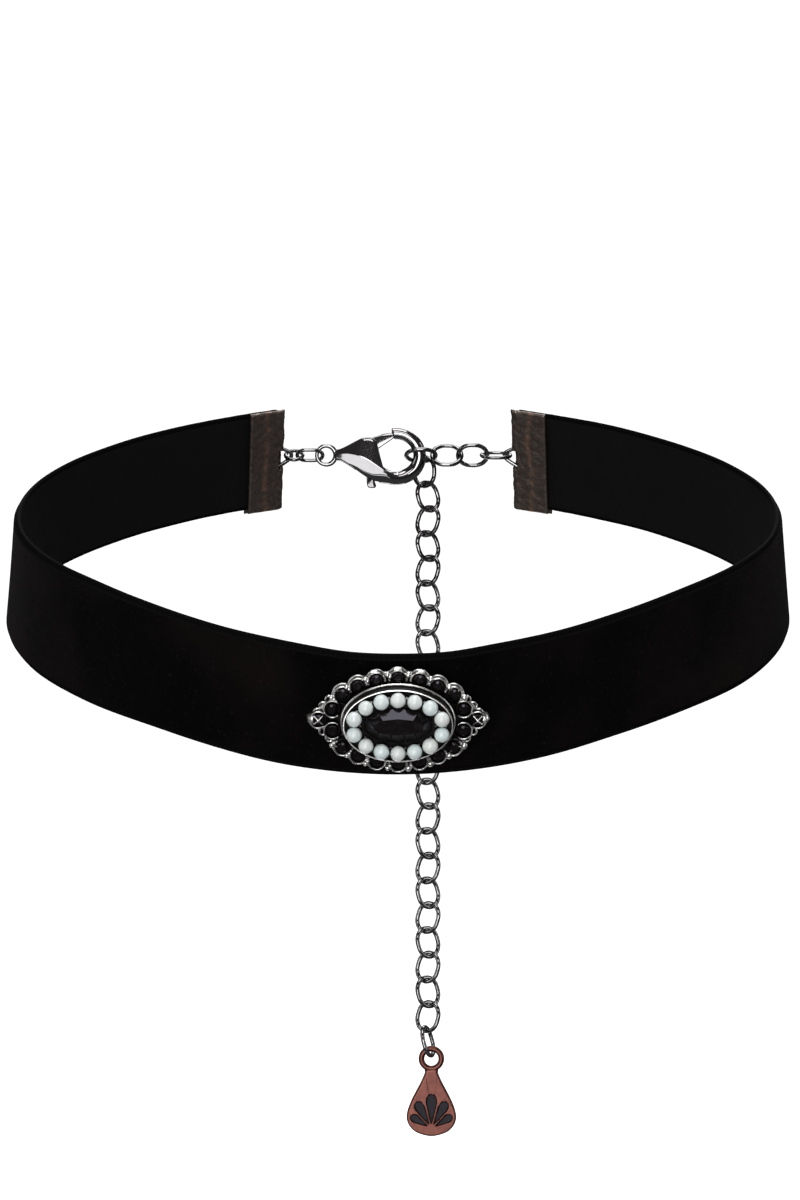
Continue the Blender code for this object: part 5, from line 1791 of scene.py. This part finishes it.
class CHOKER_OT_stones(ChokerPiece, bpy.types.Operator):
    """Make the small black stones in their cups and the large one in the bezel."""

    bl_idname = "choker.stones"
    bl_label = "Black Stones"

    def execute(self, context):
        settings = context.scene.choker_stones
        black = cut_black(settings)
        matrix = ornament_frame()
        centres = [(x, y - STONE_SINK * (y > 0)) for x, y, _ in rim_cups()]
        centres += [(x, y) for x, y, _ in side_cups()]
        heights = (STONE_RADIUS * share for share in SMALL_STONE)
        mesh = cut_stone((STONE_RADIUS, STONE_RADIUS), *heights, SMALL_FACETS, SMALL_STEPS)
        mesh.materials.append(black)
        for index, (x, y) in enumerate(centres):
            name = f"black_stone_{index + 1:02d}"
            turn = Matrix.Rotation(index * 0.7, 4, "Z")
            spot = matrix @ Matrix.Translation((x, y, CUP_HEIGHT)) @ turn
            place(name + "_cut", mesh, None, [name], "black_glass", spot)
        steps = ((settings.table, settings.table * 0.64, 1.0), (0.97, 0.96, 0.12), (1.0, 1.0, 0.0))
        large = cut_stone(
            (pearl_oval()[0] - PEARL_RADIUS - SEAT_GAP, CENTRE_STONE_HALF_HEIGHT),
            CENTRE_STONE_CROWN,
            CENTRE_STONE_GIRDLE,
            CENTRE_STONE_PAVILION - SEAT_GAP,
            settings.facets,
            steps,
        )
        seat = Matrix.Translation((0.0, 0.0, PEARL_FLOOR + CENTRE_STONE_GIRDLE + SEAT_GAP))
        place("centre_stone_cut", large, black, ["centre_stone"], "black_glass", matrix @ seat)
        return {"FINISHED"}


# Floor: radius of its flat part, radius of its curve, height of the wall, its tiny open middle, and
# how brightly it glows
PAPER_FLAT = 1.1
PAPER_CURVE = 0.7
PAPER_WALL = 2.2
PAPER_MIDDLE = 0.00001
PAPER_GLOW = 0.95
# Power that makes a lamp of one square metre look as bright as its number says
LAMP_POWER = 4
# Surroundings below and above, and the heights between which one turns into the other
ROOM_COLOURS = ((0.095, 0.095, 0.10), (0.066, 0.061, 0.061))
ROOM_BLEND = (-0.75, -0.1)
# Camera: distance from the middle of the loop, and lens and sensor in millimetres
CAMERA_DISTANCE = 0.488
CAMERA_LENS = 95.0
CAMERA_SENSOR = 36.0
# Lamps: azimuth and elevation in degrees seen from the necklace, distance, width and height in
# metres, and how bright they look
LAMPS = (
    ("front_box", -5, 6, 0.95, 0.38, 0.30, 3.6),
    ("low_front_box", -14, -15, 0.80, 0.60, 0.40, 1.55),
    ("high_front_box", 0, 35, 0.90, 0.46, 0.24, 2.0),
    ("top_box", 0, 84, 0.90, 0.60, 0.60, 2.2),
    ("left_strip", -78, 14, 0.95, 0.16, 0.80, 1.5),
    ("right_strip", 80, 14, 0.95, 0.16, 0.80, 1.5),
    ("back_box", 172, 42, 0.95, 0.60, 0.40, 1.7),
    ("low_back_box", -172, -34, 0.95, 0.60, 0.30, 1.5),
)


class CHOKER_OT_stage(ChokerPiece, bpy.types.Operator):
    """Make the pale floor that curves up all round, the lamps and the camera."""

    bl_idname = "choker.stage"
    bl_label = "Studio"

    def execute(self, context):
        studio = context.scene.choker_studio
        self.add_paper(context, studio)
        self.add_lamps(context, studio)
        self.add_world(context)
        self.add_camera(context)
        context.scene.view_settings.view_transform = "Standard"
        context.scene.view_settings.look = "None"
        return {"FINISHED"}

    def add_paper(self, context, studio):
        """A round sheet of pale paper whose edge rises behind and around the necklace."""
        floor = CAD_BOX[0].z - studio.floor_drop
        wall = PAPER_FLAT + PAPER_CURVE
        profile = [(PAPER_MIDDLE, 0.0), (0.4, 0.0), (PAPER_FLAT, 0.0)]
        for angle in np.radians(np.linspace(6, 90, 15)):
            rise = PAPER_CURVE * (1 - math.cos(angle))
            profile.append((PAPER_FLAT + PAPER_CURVE * math.sin(angle), rise))
        profile += [(wall, 1.3), (wall, PAPER_WALL)]
        build = Build()
        rows = [ring((0.0, 0.0), radius, 96, floor + height) for radius, height in profile]
        build.grid(rows, 0.5, closed_columns=True)
        mesh = build.mesh("studio_paper")
        white = {"Emission_Color": (1.0, 1.0, 1.0, 1.0), "Emission_Strength": PAPER_GLOW}
        paper = Finish("studio_paper", tuple(studio.paper), 0.9, Specular_IOR_Level=0.1, **white)
        paper.material.cycles.emission_sampling = "NONE"
        mesh.materials.append(paper.material)
        sheet = bpy.data.objects.new("studio_paper", mesh)
        context.scene.collection.objects.link(sheet)
        sheet.visible_glossy = False
        sheet.visible_diffuse = False
        sheet.visible_shadow = False

    def add_lamps(self, context, studio):
        """Soft boxes round the necklace, each turned to its middle."""
        middle = (CAD_BOX[0] + CAD_BOX[1]) / 2
        for name, azimuth, elevation, distance, width, height, brightness in LAMPS:
            lamp = bpy.data.lights.new(name, "AREA")
            lamp.shape = "RECTANGLE"
            lamp.size = width
            lamp.size_y = height
            lamp.energy = brightness * studio.light * width * height * LAMP_POWER
            item = bpy.data.objects.new(name, lamp)
            a, e = math.radians(azimuth), math.radians(elevation)
            back = Vector((math.sin(a) * math.cos(e), -math.cos(a) * math.cos(e), math.sin(e)))
            item.location = middle + back * distance
            item.rotation_euler = back.to_track_quat("Z", "Y").to_euler()
            item.visible_camera = False
            context.scene.collection.objects.link(item)

    def add_world(self, context):
        """Dim surroundings for the metals to mirror, lighter below than above."""
        world = bpy.data.worlds.new("studio_room")
        world.use_nodes = True
        tree = world.node_tree
        coordinates = tree.nodes.new("ShaderNodeTexCoord")
        split = tree.nodes.new("ShaderNodeSeparateXYZ")
        tree.links.new(coordinates.outputs["Generated"], split.inputs[0])
        colour = mix_colour(tree, range_node(tree, split.outputs[2], *ROOM_BLEND), *ROOM_COLOURS)
        tree.links.new(colour, tree.nodes["Background"].inputs[0])
        context.scene.world = world

    def add_camera(self, context):
        """The photograph's camera, level with the middle of the loop."""
        camera = bpy.data.cameras.new("photo_camera")
        camera.lens = CAMERA_LENS
        camera.sensor_width = CAMERA_SENSOR
        camera.clip_start = 0.01
        camera.clip_end = 10.0
        camera.shift_x = (PHOTO_WIDTH / 2 - PHOTO_MIDDLE[0]) / PHOTO_HEIGHT
        camera.shift_y = -(PHOTO_HEIGHT / 2 - PHOTO_MIDDLE[1]) / PHOTO_HEIGHT
        item = bpy.data.objects.new("photo_camera", camera)
        item.location = (0.0, -CAMERA_DISTANCE, 0.0)
        item.rotation_euler = (math.radians(90), 0.0, 0.0)
        context.scene.collection.objects.link(item)
        context.scene.camera = item


OPERATORS = (
    CHOKER_OT_stage,
    CHOKER_OT_crimps,
    CHOKER_OT_ribbon,
    CHOKER_OT_rings,
    CHOKER_OT_chain,
    CHOKER_OT_clasp,
    CHOKER_OT_lever,
    CHOKER_OT_drop,
    CHOKER_OT_setting,
    CHOKER_OT_pearls,
    CHOKER_OT_stones,
)


class CHOKER_PT_panel(bpy.types.Panel):
    """The choker's pieces and their settings."""

    bl_label = "Velvet Choker"
    bl_idname = "CHOKER_PT_panel"
    bl_space_type = "VIEW_3D"
    bl_region_type = "UI"
    bl_category = "Choker"

    def draw(self, context):
        for name, kind in SETTINGS.items():
            box = self.layout.box()
            box.label(text=kind.__doc__)
            for field in kind.__annotations__:
                box.prop(getattr(context.scene, name), field)
        for operator in OPERATORS:
            self.layout.operator(operator.bl_idname)


def register():
    """Register the settings, the operators and the panel."""
    for name, kind in SETTINGS.items():
        bpy.utils.register_class(kind)
        setattr(bpy.types.Scene, name, bpy.props.PointerProperty(type=kind))
    for operator in OPERATORS:
        bpy.utils.register_class(operator)
    bpy.utils.register_class(CHOKER_PT_panel)


def unregister():
    """Take the panel, the operators and the settings away."""
    bpy.utils.unregister_class(CHOKER_PT_panel)
    for operator in reversed(OPERATORS):
        bpy.utils.unregister_class(operator)
    for name, kind in reversed(SETTINGS.items()):
        delattr(bpy.types.Scene, name)
        bpy.utils.unregister_class(kind)


def main():
    """Register the settings, the operators and the panel, then make every piece."""
    register()
    for operator in OPERATORS:
        group_name, call = operator.bl_idname.split(".")
        getattr(getattr(bpy.ops, group_name), call)()


if __name__ == "__main__":
    main()
